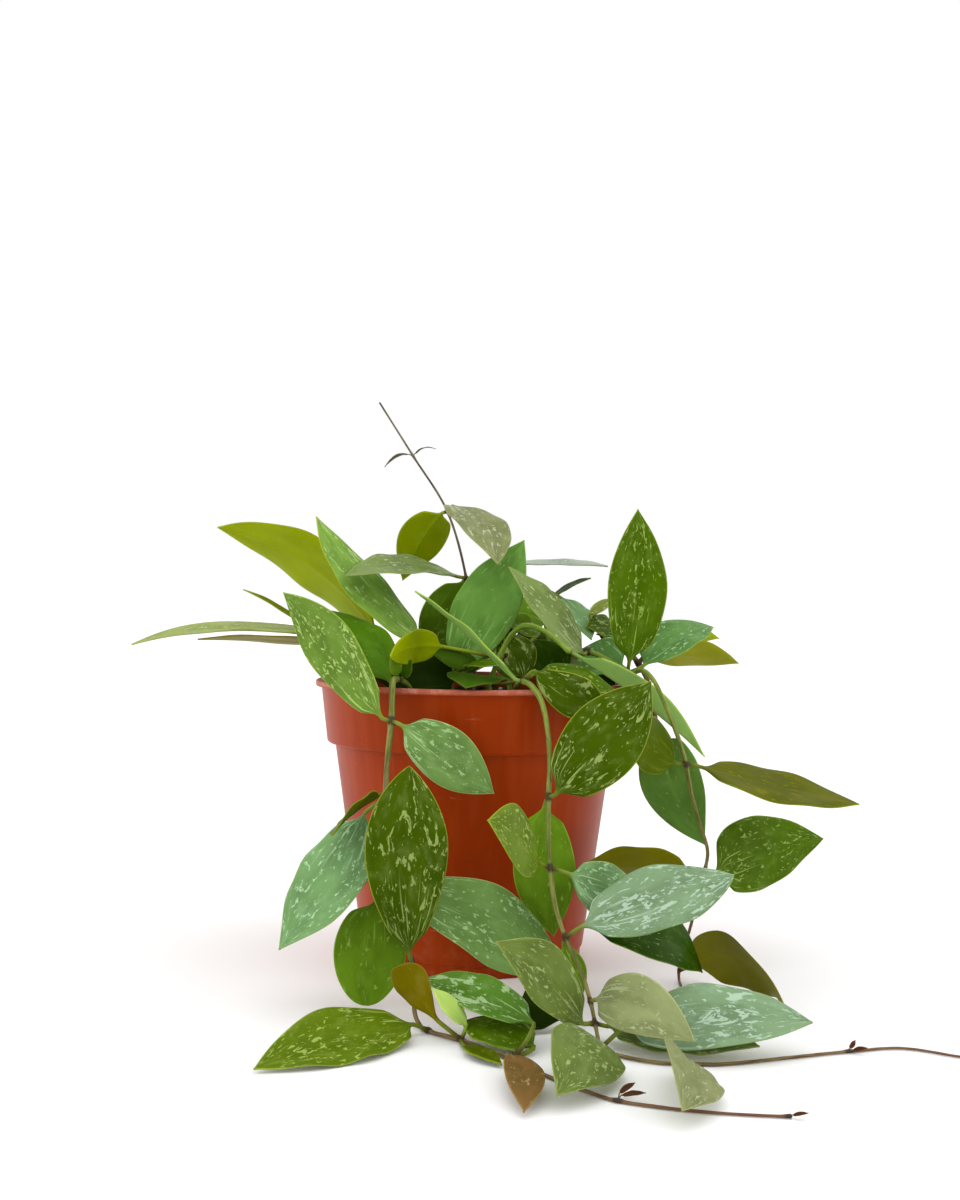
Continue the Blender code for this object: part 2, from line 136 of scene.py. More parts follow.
class Leaf(NamedTuple):
    """A leaf: its tone, its knot, the ends of its blade, where its upper side faces (azimuth,
    elevation) and its width.

    Arch and sway are the midrib's rise and sideways bow as shares of the blade's length, fold is
    how far each half lifts in degrees, peak is where the blade is widest, and blunt fills its tip.
    """

    tone: str
    knot: tuple
    base: tuple
    tip: tuple
    faces: tuple
    width: float
    arch: float = 0.05
    sway: float = 0.0
    fold: float = 5.0
    peak: float = 0.46
    blunt: float = 0.15


class Stem(NamedTuple):
    """A stem: its radius, the points that it passes through, the radius at its tip, how far along
    it turns from green to brown, the leaves that the frame has and the leaves that it hasn't."""

    radius: float
    route: list
    tip_radius: float
    browning: tuple
    leaves: list
    extra: list


class Tone(NamedTuple):
    """A leaf's colours: upper side, flecks, underside and margin, and how many flecks and
    patches it has, each from 0 to 1."""

    face: str
    mark: str
    back: str
    margin: str
    flecks: float
    patches: float


# Each tone is a leaf's colour with the light and shade that fall on that leaf painted in. The
# darkest tones are painted shade for leaves that sit in shadow, the pale blue-green ones carry a
# painted sheen, and the yellow one's underside is partly painted light shining through backlit
# leaves.
TONES = {
    "fresh": Tone("90a048", "c3cb98", "8c9440", "a9b060", 0.8, 0.35),
    "sage": Tone("748849", "b4c48c", "7f8f30", "9cab58", 0.7, 0.4),
    "dusty": Tone("7f8554", "bac09a", "7c8440", "9da468", 0.6, 0.6),
    "pale": Tone("959e6b", "bcc494", "868a46", "b4b878", 0.7, 0.3),
    # pale blue-green: a painted sheen of light on upturned leaves
    "sheen_blue": Tone("739a61", "b0d6a6", "7f8f3a", "9fae64", 0.75, 0.35),
    # real silver splash, with a painted sheen in its pale face
    "silver": Tone("7c9872", "b6d0b8", "7c8a36", "7f9a4c", 0.8, 0.85),
    "jade": Tone("6f934c", "a9cc90", "7c8c30", "b9c682", 0.75, 0.35),
    "spring": Tone("67953f", "98c070", "7c9428", "8fb84a", 0.3, 0.15),
    "fern": Tone("78a03c", "b4d080", "8c9a20", "b8b83a", 0.4, 0.8),
    "leafy": Tone("668630", "b0cc70", "7c8c20", "a4bc3c", 0.9, 0.35),
    "grass": Tone("688e1a", "94b84c", "76862a", "90b030", 0.5, 0.3),
    "deep": Tone("3f5600", "9cae62", "5c6e10", "a2ab38", 0.65, 0.7),
    "forest": Tone("466300", "93ab50", "5c7010", "94a83a", 0.7, 0.5),
    # painted shade for leaves that sit in shadow
    "dark": Tone("284800", "7f9c48", "4c5d10", "7f9a30", 0.4, 0.2),
    "olive": Tone("687a37", "a3b470", "72802c", "98a552", 0.75, 0.35),
    "field": Tone("5e760e", "a8bc5c", "6a7800", "a0b038", 0.8, 0.35),
    "lime": Tone("6f9a20", "a9c878", "84aa55", "b8d45c", 0.4, 0.1),
    "moss": Tone("4c5c00", "8c9c30", "4a5d00", "8e9c16", 0.4, 0.1),
    "brown": Tone("5e5a00", "8a8c3e", "767400", "807a1c", 0.45, 0.2),
    "tan": Tone("7b5b30", "a89068", "7b5b30", "a08040", 0.5, 0.2),
    "ochre": Tone("7c7410", "a8a040", "7c7400", "8c8420", 0.3, 0.1),
    "mustard": Tone("7d8400", "a8a840", "888c00", "98941c", 0.4, 0.1),
    "lemon": Tone("b4d468", "c8e08c", "9cb840", "c8dc70", 0.1, 0.0),
    "teal": Tone("5a8640", "9cc48c", "7c8c30", "8fb058", 0.75, 0.35),
    "clear": Tone("4e7a06", "86a84c", "76862a", "90b030", 0.1, 0.1),
    # painted shade for leaves deep in the crown
    "shade": Tone("3c5c06", "5c7c2c", "3c5010", "5a7020", 0.1, 0.1),
    # painted shadow: near-black, for leaves that fill shaded gaps
    "painted_shadow": Tone("182a02", "30481a", "1c2c06", "2c4010", 0.1, 0.1),
    "umber": Tone("6e4c00", "9a8440", "6f6400", "8c7420", 0.3, 0.1),
    "dappled": Tone("517a26", "a8c48e", "6c7c2c", "8fb058", 0.7, 1.0),
    "amber": Tone("5c6000", "7c7606", "5d6000", "8e9c16", 0.3, 0.6),
    "ash": Tone("99a694", "ccd6c8", "8f9c88", "a9b4a0", 0.4, 0.3),
    "pine": Tone("5f8836", "86ac62", "6c7c2c", "8fb058", 0.3, 0.2),
    "bud": Tone("4a2416", "6a4430", "4a2416", "5a3020", 0.1, 0.0),
    "dry": Tone("4c463c", "6a6456", "4c463c", "5a5448", 0.1, 0.0),
    # its bright underside is partly painted light shining through backlit leaves
    "yellow": Tone("7d8800", "a8b840", "94a400", "a8b030", 0.4, 0.1),
}

STEMS = {
    "vine_left": Stem(
        1.15,
        [(-21, -36, 99), (-24, -43, 105), (-27, -50, 107), (-28, -58, 107), (-28, -63, 101.5),
         (-28, -66.5, 94), (-29, -70, 81), (-29.5, -73, 68.5), (-30, -78, 52), (-29, -83, 38),
         (-24, -87, 28), (-19.5, -91, 18), (-18.5, -96, 8), (-17.5, -102, 3), (-13.5, -108.5, 0),
         (-3, -118.5, 0), (6, -129, 0), (12, -137.5, 0), (25, -157, 0), (35, -169, 0),
         (40, -173.5, 0), (56, -180, 0), (69, -183, 0), (84.5, -185, 0)],
        0.4, (-0.3, 0.6),
        [
            Leaf("clear", (-27, -50, 107), (-29, -49.5, 106), (-55, -21, 131), (-70, 60), 26,
                 0.05, -0.03),
            Leaf("leafy", (-28, -66.5, 94), (-31, -68, 95), (-68, -39, 137), (-130, 0), 22, 0,
                 0.02, 0, 0.5),
            Leaf("jade", (-28, -66.5, 94), (-24.5, -70, 93), (7, -61, 69), (-70, 10), 20),
            Leaf("sheen_blue", (-29.5, -73, 68.5), (-36, -75, 64), (-61, -104, 25), (-105, 45), 25, 0,
                 -0.04, 0),
            Leaf("grass", (-29, -83, 38), (-32, -81, 36), (-34, -82, 1.5), (-80, 15), 24, 0.1,
                 0.03, blunt=0.6),
            Leaf("jade", (-29, -83, 38), (-24.5, -86, 41), (30, -77, 10), (-60, 30), 28, 0.06,
                 -0.03, 6, 0.53, 0.28),
            Leaf("deep", (-19.5, -91, 18), (-20, -94.5, 21), (-21, -87, 81), (-85, 5), 27, 0.07,
                 -0.02, 7, 0.56, 0.3),
            Leaf("field", (-13.5, -108.5, 1), (-18, -111, 3.5), (-62, -151, 1.5), (-55, 65), 24,
                 0.04, 0, 8),
            Leaf("umber", (-3, -118.5, 1), (-10, -118.5, 6.5), (-22, -115, 23), (90, 30), 12.5,
                 0.05, 0.06, 4, 0.72, 0.8),
            Leaf("dappled", (12, -137.5, 1), (19, -126, 8), (-15.5, -98, 14.5), (-100, 55), 14.5,
                 0.08, 0, 9, 0.45, 0.26),
            Leaf("tan", (12, -137.5, 1), (10.5, -146, 4.5), (14, -188, 2), (-90, 72), 11, 0.05,
                 -0.06, 4, 0.52, 0.15),
        ],
        [
            Leaf("grass", (-27, -50, 107), (-27, -49.5, 108.5), (-29, -54, 116), (-70, 20), 5.5,
                 0.05, 0, 12),
            Leaf("shade", (-27, -50, 107), (-25, -48, 107.5), (-22, -50, 114), (-110, 25), 5.5),
            Leaf("moss", (-29.5, -73, 68.5), (-31, -77.5, 70.5), (-45, -95.5, 60), (145, 53), 17,
                 0.05, 0, 6, 0.55, 0.5),
            Leaf("lemon", (-3, -118.5, 1), (-1.5, -119, 5.5), (-12, -117.5, 16.5), (-60, 35),
                 6.5, 0.04),
            Leaf("forest", (12, -137.5, 1), (19, -130, 2.2), (-3, -112.5, 5), (-95, 70), 17, 0.05),
            Leaf("moss", (-3, -118.5, 1), (-2, -127.5, 1.6), (9, -144, 1.2), (-90, 84), 7, 0.03),
            Leaf("bud", (40, -173.5, 0.8), (41, -173, 2), (47.5, -174, 3), (-90, 60), 1.9),
            Leaf("bud", (40, -173.5, 0.8), (40.5, -172, 2.2), (45.3, -166.5, 3.4), (-90, 60), 1.9),
            Leaf("bud", (84.5, -185, 0.6), (85, -185, 1), (89, -186.5, 2), (-90, 60), 1.4),
        ],
    ),
    "vine_front": Stem(
        1.0,
        [(13, -40, 99), (14.5, -47, 104.5), (16.5, -55, 107), (19.5, -61, 106),
         (23, -66.5, 100.5), (25, -70, 90), (25.5, -73, 80), (25, -76, 70), (25, -79, 59),
         (25.5, -83, 47.5), (27, -89, 36), (30, -95.5, 27.5), (34.5, -103, 18.5), (37, -111, 11),
         (38, -117, 6), (38.5, -122, 3), (39, -127, 0), (46, -134, 0), (55.5, -139, 0),
         (62, -139.5, 0), (73, -140, 0), (95, -132.5, 0), (114, -126, 0), (131, -122, 0),
         (146, -130, 0), (158, -137, 0), (168, -140, 0)],
        0.35, (-0.5, 1.1),
        [
            Leaf("lime", (16.5, -55, 107), (14, -57.5, 108), (-21, -49, 138), (9, 48), 17, 0.02,
                 0, 3),
            Leaf("deep", (16.5, -55, 107), (20.5, -56.5, 111), (47, -56, 97), (-80, 0), 15, 0.1,
                 0.05, 6, 0.55),
            Leaf("deep", (25, -76, 70), (27, -79, 71), (60, -65, 108), (-85, 15), 26, 0.06, 0.01,
                 3),
            Leaf("grass", (25, -76, 70), (24, -72, 67), (28, -65, 21), (-90, -10), 21, 0.06,
                 0.04),
            Leaf("field", (25.5, -83, 47.5), (21.5, -83, 49.5), (5, -122, 69), (-20, 10), 22,
                 0.02, 0.02, 3),
            Leaf("sheen_blue", (25.5, -83, 47.5), (31.5, -84.5, 46), (61, -56, 30), (-40, 10), 20,
                 0.03, 0.04, 3),
            Leaf("silver", (30, -95.5, 27.5), (34.5, -98.5, 31.5), (86, -81, 45), (-90, 45), 24,
                 0.07, 0.03, blunt=0.28),
            Leaf("dark", (30, -95.5, 27.5), (36.5, -92.5, 31), (79, -64, 9), (-40, 35), 24, 0.12,
                 -0.03, 10),
            Leaf("pale", (37, -111, 11), (38.5, -114, 12.5), (64.5, -146, 9), (-140, 30), 18,
                 0.1, -0.07, 10, 0.44, 0.25),
            Leaf("olive", (38, -117, 6), (34, -118, 6), (7, -135, 35), (-45, 15), 20, 0.07, 0.03,
                 5, 0.5, 0.05),
            Leaf("sage", (38, -117, 6), (42, -115, 4.5), (86, -131.5, 3.2), (-105, 60), 21,
                 0.07, 0.01),
            Leaf("silver", (39, -127, 1), (46, -124, 6.5), (102, -131, 11), (-105, 55), 25,
                 0.06, 0.01, 4, 0.44, 0.22),
            Leaf("olive", (39, -127, 1), (37.5, -132, 5), (23, -184, 5.5), (-15, 60), 23, 0.09,
                 0, 0),
            Leaf("dusty", (62, -139.5, 1), (60.5, -145, 4), (54.5, -198, 6.5), (-5, 50), 21,
                 0.08, 0.01, 8, 0.5),
        ],
        [
            Leaf("forest", (16.5, -55, 107), (22, -52, 110), (50, -47, 103), (-90, 57), 15, 0.06),
            Leaf("grass", (30, -95.5, 27.5), (29.5, -93, 24.5), (35.5, -92, 7), (-80, 15), 9),
            # painted shadow: a near-black leaf in a shaded gap
            Leaf("painted_shadow", (38, -117, 6), (29, -106, 4), (18.5, -101, 15), (-85, 25), 24),
            Leaf("bud", (114, -126, 0.8), (115, -126.5, 1.2), (119, -128.5, 2.4), (-60, 40), 1.5),
            Leaf("bud", (114, -126, 0.8), (114.5, -125, 1.2), (117, -121.5, 2.6), (-60, 40), 1.5),
            Leaf("bud", (168, -140, 0.6), (167.5, -140, 1), (166, -143, 3), (-160, 40), 1.4),
        ],
    ),
    "vine_right": Stem(
        1.15,
        [(25, 1, 99), (29, -3, 109), (35, -9, 115), (42, -14.5, 116), (50, -18, 112.5),
         (56.5, -20.5, 108.5), (60.5, -32, 110), (63.5, -42.5, 107), (66.5, -46, 100.5),
         (70.5, -46, 91), (74, -42.5, 82), (75.5, -39.5, 77.5), (78, -37, 66.5),
         (81.5, -36.5, 54.5), (84, -37, 46), (83, -37.5, 39), (79, -37, 22), (75.5, -37.5, 9),
         (74, -38.5, 3.5), (73.5, -44, 0), (73, -56, 0), (71, -68, 0)],
        0.42, (-0.1, 1.1),
        [
            Leaf("sage", (42, -14.5, 116), (40, -19, 115), (12, -31, 147), (-45, 25), 18, 0.04,
                 -0.03, 8, 0.42),
            Leaf("forest", (56.5, -20.5, 108.5), (56.5, -23.5, 112), (60, -17, 169), (-75, 5), 23,
                 0.06, 0, 3),
            Leaf("teal", (56.5, -20.5, 108.5), (62, -21, 111), (92, 7, 125), (-85, 60), 20, 0.1,
                 -0.03, 7),
            Leaf("teal", (56.5, -20.5, 108.5), (55, -16, 110.5), (39, -4, 115.5), (-95, 38), 19,
                 0.05),
            Leaf("amber", (75.5, -39.5, 77.5), (81, -36.5, 76), (139, -34, 63), (-65, 65), 25, 0,
                 0.03, 0),
            Leaf("moss", (75.5, -39.5, 77.5), (72, -40.5, 77.5), (57, -57, 97), (140, 10), 19,
                 0.08, 0.08),
            Leaf("forest", (83, -37.5, 39), (87, -36, 38), (133, -2, 45), (-55, 15), 27, -0.03,
                 -0.04, -5, 0.4, 0.25),
            Leaf("brown", (83, -37.5, 39), (78.5, -37.5, 38.5), (36, -36, 38), (90, 50), 22,
                 0.06, 0, 7),
            Leaf("brown", (74, -38.5, 3.5), (79, -40.5, 5.5), (102, -92, 4), (25, 35), 27, 0.12,
                 0.07, 0, 0.42, 0.3),
        ],
        [
            Leaf("dark", (29, -3, 109), (30.5, -13, 105), (23, -9, 120), (-80, 20), 19, 0.06),
            Leaf("grass", (29, -3, 109), (27, 8, 125.5), (11, 4, 132), (-95, 48), 17),
        ],
    ),
    "stem_left": Stem(
        1.15,
        [(-29, 4, 99), (-32, 3, 108), (-36, 2, 118), (-42, -1, 119.5), (-48, -4, 118.5),
         (-51, -5.5, 118)],
        0.8, (0.7, 2),
        [
            Leaf("yellow", (-36, 2, 118), (-37.5, 3.5, 122), (-101, 17, 162), (50, 35), 31, 0.1,
                 -0.035, 0, 0.44, 0.21),
            Leaf("fresh", (-48, -4, 118.5), (-49, -7, 119.5), (-126, -22, 118), (-90, 85), 30,
                 0.05, 0.04, 5, 0.5, 0.2),
            Leaf("ochre", (-48, -4, 118.5), (-49, -8, 117), (-103, -14, 119.5), (85, 79), 18,
                 0.02, 0, 0),
        ],
        [
            Leaf("yellow", (-48, -4, 118.5), (-62, 7, 121), (-87, -8, 138), (-18, 49), 5, 0.04,
                 0, 4),
            Leaf("jade", (-36, 2, 118), (-37, 6, 119.5), (-62, 38, 108), (110, 65), 26),
            Leaf("grass", (-32, 3, 108), (-33, 9, 108), (-44, 48, 103), (95, 70), 22, 0.1),
        ],
    ),
    "stem_middle": Stem(
        1.15,
        [(-8.5, -24, 99), (-9, -23, 106), (-12.5, -17, 113), (-15.5, -15, 119)],
        1.1, (0.7, 2),
        [
            Leaf("spring", (-9, -23, 106), (-7, -23, 110), (18, -17, 157), (-100, 10), 24),
            Leaf("fern", (-15.5, -15, 119), (-19, -17.5, 118.5), (-60, -10, 165), (-35, 40),
                 27.5, -0.02, -0.04, 0),
        ],
        [
            Leaf("shade", (-9, -23, 106), (1.5, -25.5, 110.5), (-16, -31.5, 116), (-80, 25), 8.5),
            Leaf("forest", (-9, -23, 106), (-3, -31, 111), (11, -38.5, 111.5), (-90, 72), 9),
            # painted shadow: a near-black leaf in a shaded gap
            Leaf("painted_shadow", (-9, -23, 106), (-6, -24.5, 106), (-38, -29, 108), (-90, 20), 18),
        ],
    ),
    "stem_front": Stem(
        1.0,
        [(5.5, -26, 99), (5.5, -26, 104), (9, -28.5, 114), (13, -31.5, 122), (18, -36, 126),
         (25, -41, 124), (33, -45.5, 117.5)],
        0.9, (1.2, 2),
        [
            Leaf("shade", (5.5, -26, 104), (4, -29, 107), (-3, -67, 105.5), (-60, 82), 21, 0.04,
                 0, 3),
            Leaf("yellow", (9, -28.5, 114), (-12, -31, 118), (-29, -65, 116), (155, 10), 12.5,
                 0.04, -0.03, 0, 0.45, 0.4),
            Leaf("lime", (33, -45.5, 117.5), (36.5, -47, 115.5), (86, -14, 77), (57, 32), 14,
                 0.04, 0, 42),
        ],
        [
            Leaf("deep", (5.5, -26, 104), (18, -26, 106.5), (10.5, -22, 123), (-95, 15), 17),
            Leaf("forest", (9, -28.5, 114), (24.5, -2, 122.5), (10.5, -6, 127), (-90, 52), 13),
        ],
    ),
    "stem_right": Stem(
        1.0,
        [(37, 4, 99), (43, 3, 111), (50, 3, 119), (56, 0, 118), (62, -4, 111), (66.5, -9, 101),
         (68, -11, 89)],
        0.9, (-0.2, 1.2),
        [
            Leaf("dark", (50, 3, 119), (50, 8, 122), (84, 52, 115), (150, 75), 24, 0.05, 0, 7,
                 0.42, 0.1),
            Leaf("mustard", (56, 0, 118), (63, 5, 116), (106, 33, 110), (110, 50), 17, 0.02, 0, 2),
            Leaf("pine", (68, -11, 89), (69, -13, 85), (84, -30, 47), (-110, 15), 23, 0.12, 0.03,
                 10, 0.42),
        ],
        [
            Leaf("fresh", (50, 3, 119), (43.5, 0, 129.5), (53, 0, 135.5), (-100, 35), 5),
            Leaf("deep", (50, 3, 119), (57, 8, 122), (42, -4, 125), (-90, 42), 15),
            Leaf("yellow", (62, -4, 111), (73, 12, 123), (100, 46, 119.5), (143, 18), 10),
            Leaf("jade", (43, 3, 111), (41, 8, 112), (30, 50, 107), (70, 65), 25, 0.1),
            # painted shadow: a near-black leaf in a shaded gap
            Leaf("painted_shadow", (43, 3, 111), (44, 1, 108), (52.5, -10, 103), (-80, 20), 14),
        ],
    ),
    "stem_rear": Stem(
        1.0,
        [(14, 25, 99), (13, 29, 122), (13, 32, 147)],
        0.9, (0.7, 2),
        [
            Leaf("ash", (13, 32, 147), (15, 29, 149), (50, -4, 148), (-125, 80), 13, 0.02,
                 0.01, 2),
        ],
        [
            Leaf("dark", (13, 29, 122), (28.5, 22, 134), (44.5, 9, 143.5), (-150, 55), 6.5),
            Leaf("sheen_blue", (13, 32, 147), (33.5, 12, 135.5), (44, -6, 120), (-60, 40), 14),
            Leaf("silver", (13, 29, 122), (10, 33, 122), (-14, 62, 96), (100, 50), 27, 0.1),
            Leaf("jade", (13, 32, 147), (11, 34, 147), (2, 57, 116), (85, 45), 24, 0.08),
            Leaf("sheen_blue", (13, 29, 122), (17, 33, 122), (46, 55, 92), (60, 45), 26, 0.1),
        ],
    ),
    "twig": Stem(
        0.6,
        [(0, 6, 99), (-1, 6, 120), (-3.5, 5, 143), (-11, 6, 168.5), (-24.5, 9, 190),
         (-37.5, 10, 210.3)],
        0.35, (0, 1),
        [
            Leaf("sage", (-3.5, 5, 143), (-7, 3, 143.5), (-47, -29, 143), (-55, 70), 22, 0.07,
                 0.01, 6),
            Leaf("yellow", (-11, 6, 168.5), (-13, 9, 168), (-29, 29, 142), (85, 45), 19, 0.09,
                 -0.02, 8, 0.44),
            Leaf("dusty", (-11, 6, 168.5), (-9, 4, 170.5), (8, -38, 148), (-55, 65), 23, 0.07,
                 -0.02, 6, 0.46, 0.2),
        ],
        [
            Leaf("grass", (-3.5, 5, 143), (-4.5, 8, 142), (-20, 14, 114), (-60, 25), 20),
            Leaf("jade", (-1, 6, 120), (0, 13, 120), (-12, 46, 112), (110, 60), 21, 0.08),
            Leaf("dry", (-24.5, 9, 190), (-26, 9, 190.5), (-35, 2, 185), (-60, 60), 1.7, 0.18),
            Leaf("dry", (-24.5, 9, 190), (-24, 9, 190.5), (-15.5, 2, 192), (-60, 60), 1.7, 0.15),
        ],
    ),
}


# ---- shader building


def tint(code):
    """A linear colour from its hex code."""
    parts = [int(code[i:i + 2], 16) / 255 for i in (0, 2, 4)]
    return tuple(((p + 0.055) / 1.055) ** 2.4 if p > 0.04045 else p / 12.92 for p in parts) + (1.0,)


def pick(sockets, key):
    """The enabled socket with that name or number; the first one for None."""
    live = [socket for socket in sockets if socket.enabled]
    if isinstance(key, str):
        return next(socket for socket in live if socket.name == key)
    return live[key or 0]


class Value:
    """A number that varies over a surface: arithmetic on it adds Math nodes to its finish."""

    def __init__(self, finish, socket):
        self.finish = finish
        self.socket = socket

    def math(self, operation, *others):
        inputs = dict(enumerate((self, *others)))
        return self.finish.add("Math", {"operation": operation}, inputs)

    def __add__(self, other):
        return self.math("ADD", other)

    def __sub__(self, other):
        return self.math("SUBTRACT", other)

    def __rsub__(self, other):
        return self.math("MULTIPLY_ADD", -1.0, other)

    def __mul__(self, other):
        return self.math("MULTIPLY", other)

    __radd__ = __add__
    __rmul__ = __mul__

    def over(self, other):
        """The larger of the two."""
        return self.math("MAXIMUM", other)

    def rise(self, low, high):
        """0 below low, 1 above high and smooth between."""
        inputs = {"Value": self, "From Min": low, "From Max": high}
        return self.finish.add("MapRange", {"interpolation_type": "SMOOTHSTEP"}, inputs)


class Nodes:
    """A node tree that is built by adding one node at a time."""

    def __init__(self, tree):
        self.tree = tree

    def put(self, socket, value):
        if isinstance(value, Value):
            self.tree.links.new(value.socket, socket)
        else:
            socket.default_value = value

    def add(self, kind, settings, inputs, out=None):
        """A node of that kind: its settings first, then what goes into its sockets."""
        node = self.tree.nodes.new("ShaderNode" + kind)
        for key, value in settings.items():
            setattr(node, key, value)
        for key, value in inputs.items():
            self.put(pick(node.inputs, key), value)
        return Value(self, pick(node.outputs, out))

    def attribute(self, name, out="Vector"):
        return self.add("Attribute", {"attribute_name": name}, {}, out)

    def parts(self, vector):
        split = self.add("SeparateXYZ", {}, {0: vector})
        return [Value(self, socket) for socket in split.socket.node.outputs]

    def noise(self, vector, scale, detail=2.0, rough=0.5, warp=0.0):
        """Noise at one scale all ways, or at three: one for each axis."""
        if isinstance(scale, tuple):
            vector = self.add("VectorMath", {"operation": "MULTIPLY"}, {0: vector, 1: scale})
            scale = 1.0
        inputs = {"Vector": vector, "Scale": scale, "Detail": detail, "Roughness": rough,
                  "Distortion": warp}
        return self.add("TexNoise", {}, inputs)

    def mix(self, share, first, second):
        inputs = {"Factor": share, "A": first, "B": second}
        return self.add("Mix", {"data_type": "RGBA"}, inputs)

    def bump(self, height, depth, strength=1.0):
        inputs = {"Strength": strength, "Distance": depth * MM, "Height": height}
        return self.add("Bump", {}, inputs)


class Finish(Nodes):
    """A material with one glossy shader, whose fixed sockets are set by name."""

    def __init__(self, name, **fixed):
        self.material = bpy.data.materials.new(name)
        self.material.use_nodes = True
        super().__init__(self.material.node_tree)
        self.shader = self.tree.nodes["Principled BSDF"]
        for socket, value in fixed.items():
            self.shader.inputs[socket.replace("_", " ")].default_value = value

    def finish(self, colour, rough, normal=None):
        self.put(self.shader.inputs["Base Color"], colour)
        self.put(self.shader.inputs["Roughness"], rough)
        if normal:
            self.put(self.shader.inputs["Normal"], normal)
        return self.material


def leaf_finish():
    """Waxy green with flecks and patches that run along the leaf, a pale margin and a brown knot
    end of the stalk. The colours and the amounts are attributes of each leaf."""
    leaf = Finish("waxy_leaf", Coat_Weight=0.02, Coat_Roughness=0.3, Specular_IOR_Level=0.06,
                  Specular_Tint=tint("f0ff90"))
    place = leaf.attribute("place")
    along, inward, top = leaf.parts(leaf.attribute("share"))
    flecks, patches, _ = leaf.parts(leaf.attribute("habit"))
    face, mark, back, margin = (leaf.attribute(key, "Color") for key in LEAF_COLOURS)

    cloud = leaf.noise(place, (0.06, 0.11, 1), 2.0)
    grain = leaf.noise(place, (0.38, 0.75, 1), 3.0, 0.6, 0.5)
    blotch = leaf.noise(place, (0.13, 0.3, 1), 4.0, 0.62, 0.7)
    mottle = leaf.noise(place, (0.17, 0.26, 1), 4.0, 0.6, 0.3)
    streak = leaf.noise(place, (0.05, 1.0, 1), 1.0)
    spots = (grain + 0.3 * cloud + 0.12 * flecks).rise(0.845, 0.885)
    patch = (blotch + 0.15 * grain + 0.16 * patches).rise(0.785, 0.825)
    lines = (streak + 0.06 * flecks).rise(0.67, 0.72)
    lines = lines * (1 - along.rise(0.18, 0.5))
    marked = spots.over(patch).over(lines) * along.rise(0.02, 0.1)

    lit = leaf.mix(cloud.rise(0.35, 0.65) * 0.8, face, leaf.mix(0.36, face, (0.01, 0.03, 0.0, 1)))
    lit = leaf.mix(mottle.rise(0.45, 0.75) * 0.5, lit, leaf.mix(0.3, face, mark))
    lit = leaf.mix(marked * 0.75, lit, mark)
    under = leaf.mix(cloud.rise(0.3, 0.75) * 0.5, back, leaf.mix(0.35, back, (0.03, 0.04, 0.0, 1)))
    under = leaf.mix(mottle.rise(0.5, 0.8) * 0.25, under, mark)
    under = leaf.mix(marked * 0.22, under, mark)
    colour = leaf.mix(top.rise(0.3, 0.7), under, lit)
    colour = leaf.mix((1 - inward.rise(0.12, 0.5)) * along.rise(0.0, 0.06) * 0.6, colour, margin)
    green = leaf.mix(0.5, back, tint("7c8a3a"))
    colour = leaf.mix(1 - along.rise(-0.02, 0.07), colour, green)
    colour = leaf.mix(1 - along.rise(-1.0, -0.3), colour, tint("43301f"))

    veins = (along * 44.0 - inward * 0.35).math("SINE").rise(0.82, 1.0)
    height = 0.35 * grain + 0.5 * cloud + 0.12 * veins - 0.15 * marked
    rough = 0.36 + 0.16 * cloud + 0.08 * marked
    return leaf.finish(colour, rough, leaf.bump(height, 0.16, 0.6))


def stem_finish():
    """Bark that is green where it is young, grey-brown where it is old, red-brown at a growing
    tip and dark at the knots."""
    bark = Finish("bark", Specular_IOR_Level=0.25)
    place = bark.attribute("place")
    age, knot, tip = bark.parts(bark.attribute("share"))
    lines = bark.noise(place, (0.12, 1.3, 1), 3.0)
    spots = bark.noise(place, (0.5, 1.1, 1), 2.0)
    young = bark.mix(lines.rise(0.35, 0.7), tint("829a34"), tint("5f7c20"))
    old = bark.mix(lines.rise(0.35, 0.65), tint("85704a"), tint("54401f"))
    colour = bark.mix((age + 0.5 * (spots - 0.5)).rise(0.1, 0.9), young, old)
    colour = bark.mix(spots.rise(0.6, 0.72) * 0.5, colour, tint("5a4a34"))
    colour = bark.mix(tip * 0.8, colour, tint("6b4434"))
    colour = bark.mix(knot.rise(0.15, 0.7) * 0.9, colour, tint("36261d"))
    height = 0.6 * lines + 0.4 * spots
    return bark.finish(colour, 0.48 + 0.25 * spots, bark.bump(height, 0.14, 0.8))


def twig_finish():
    """A dried shoot: grey-brown, ridged lengthwise."""
    bark = Finish("dry_bark")
    place = bark.attribute("place")
    lines = bark.noise(place, (0.15, 1.6, 1), 3.0)
    patches = bark.noise(place, (0.09, 0.2, 1), 2.0)
    colour = bark.mix(lines.rise(0.3, 0.7), tint("6b5b48"), tint("3f332a"))
    colour = bark.mix(patches.rise(0.45, 0.65) * 0.6, colour, tint("7d7a5c"))
    return bark.finish(colour, 0.7 + 0.2 * lines, bark.bump(lines, 0.12))


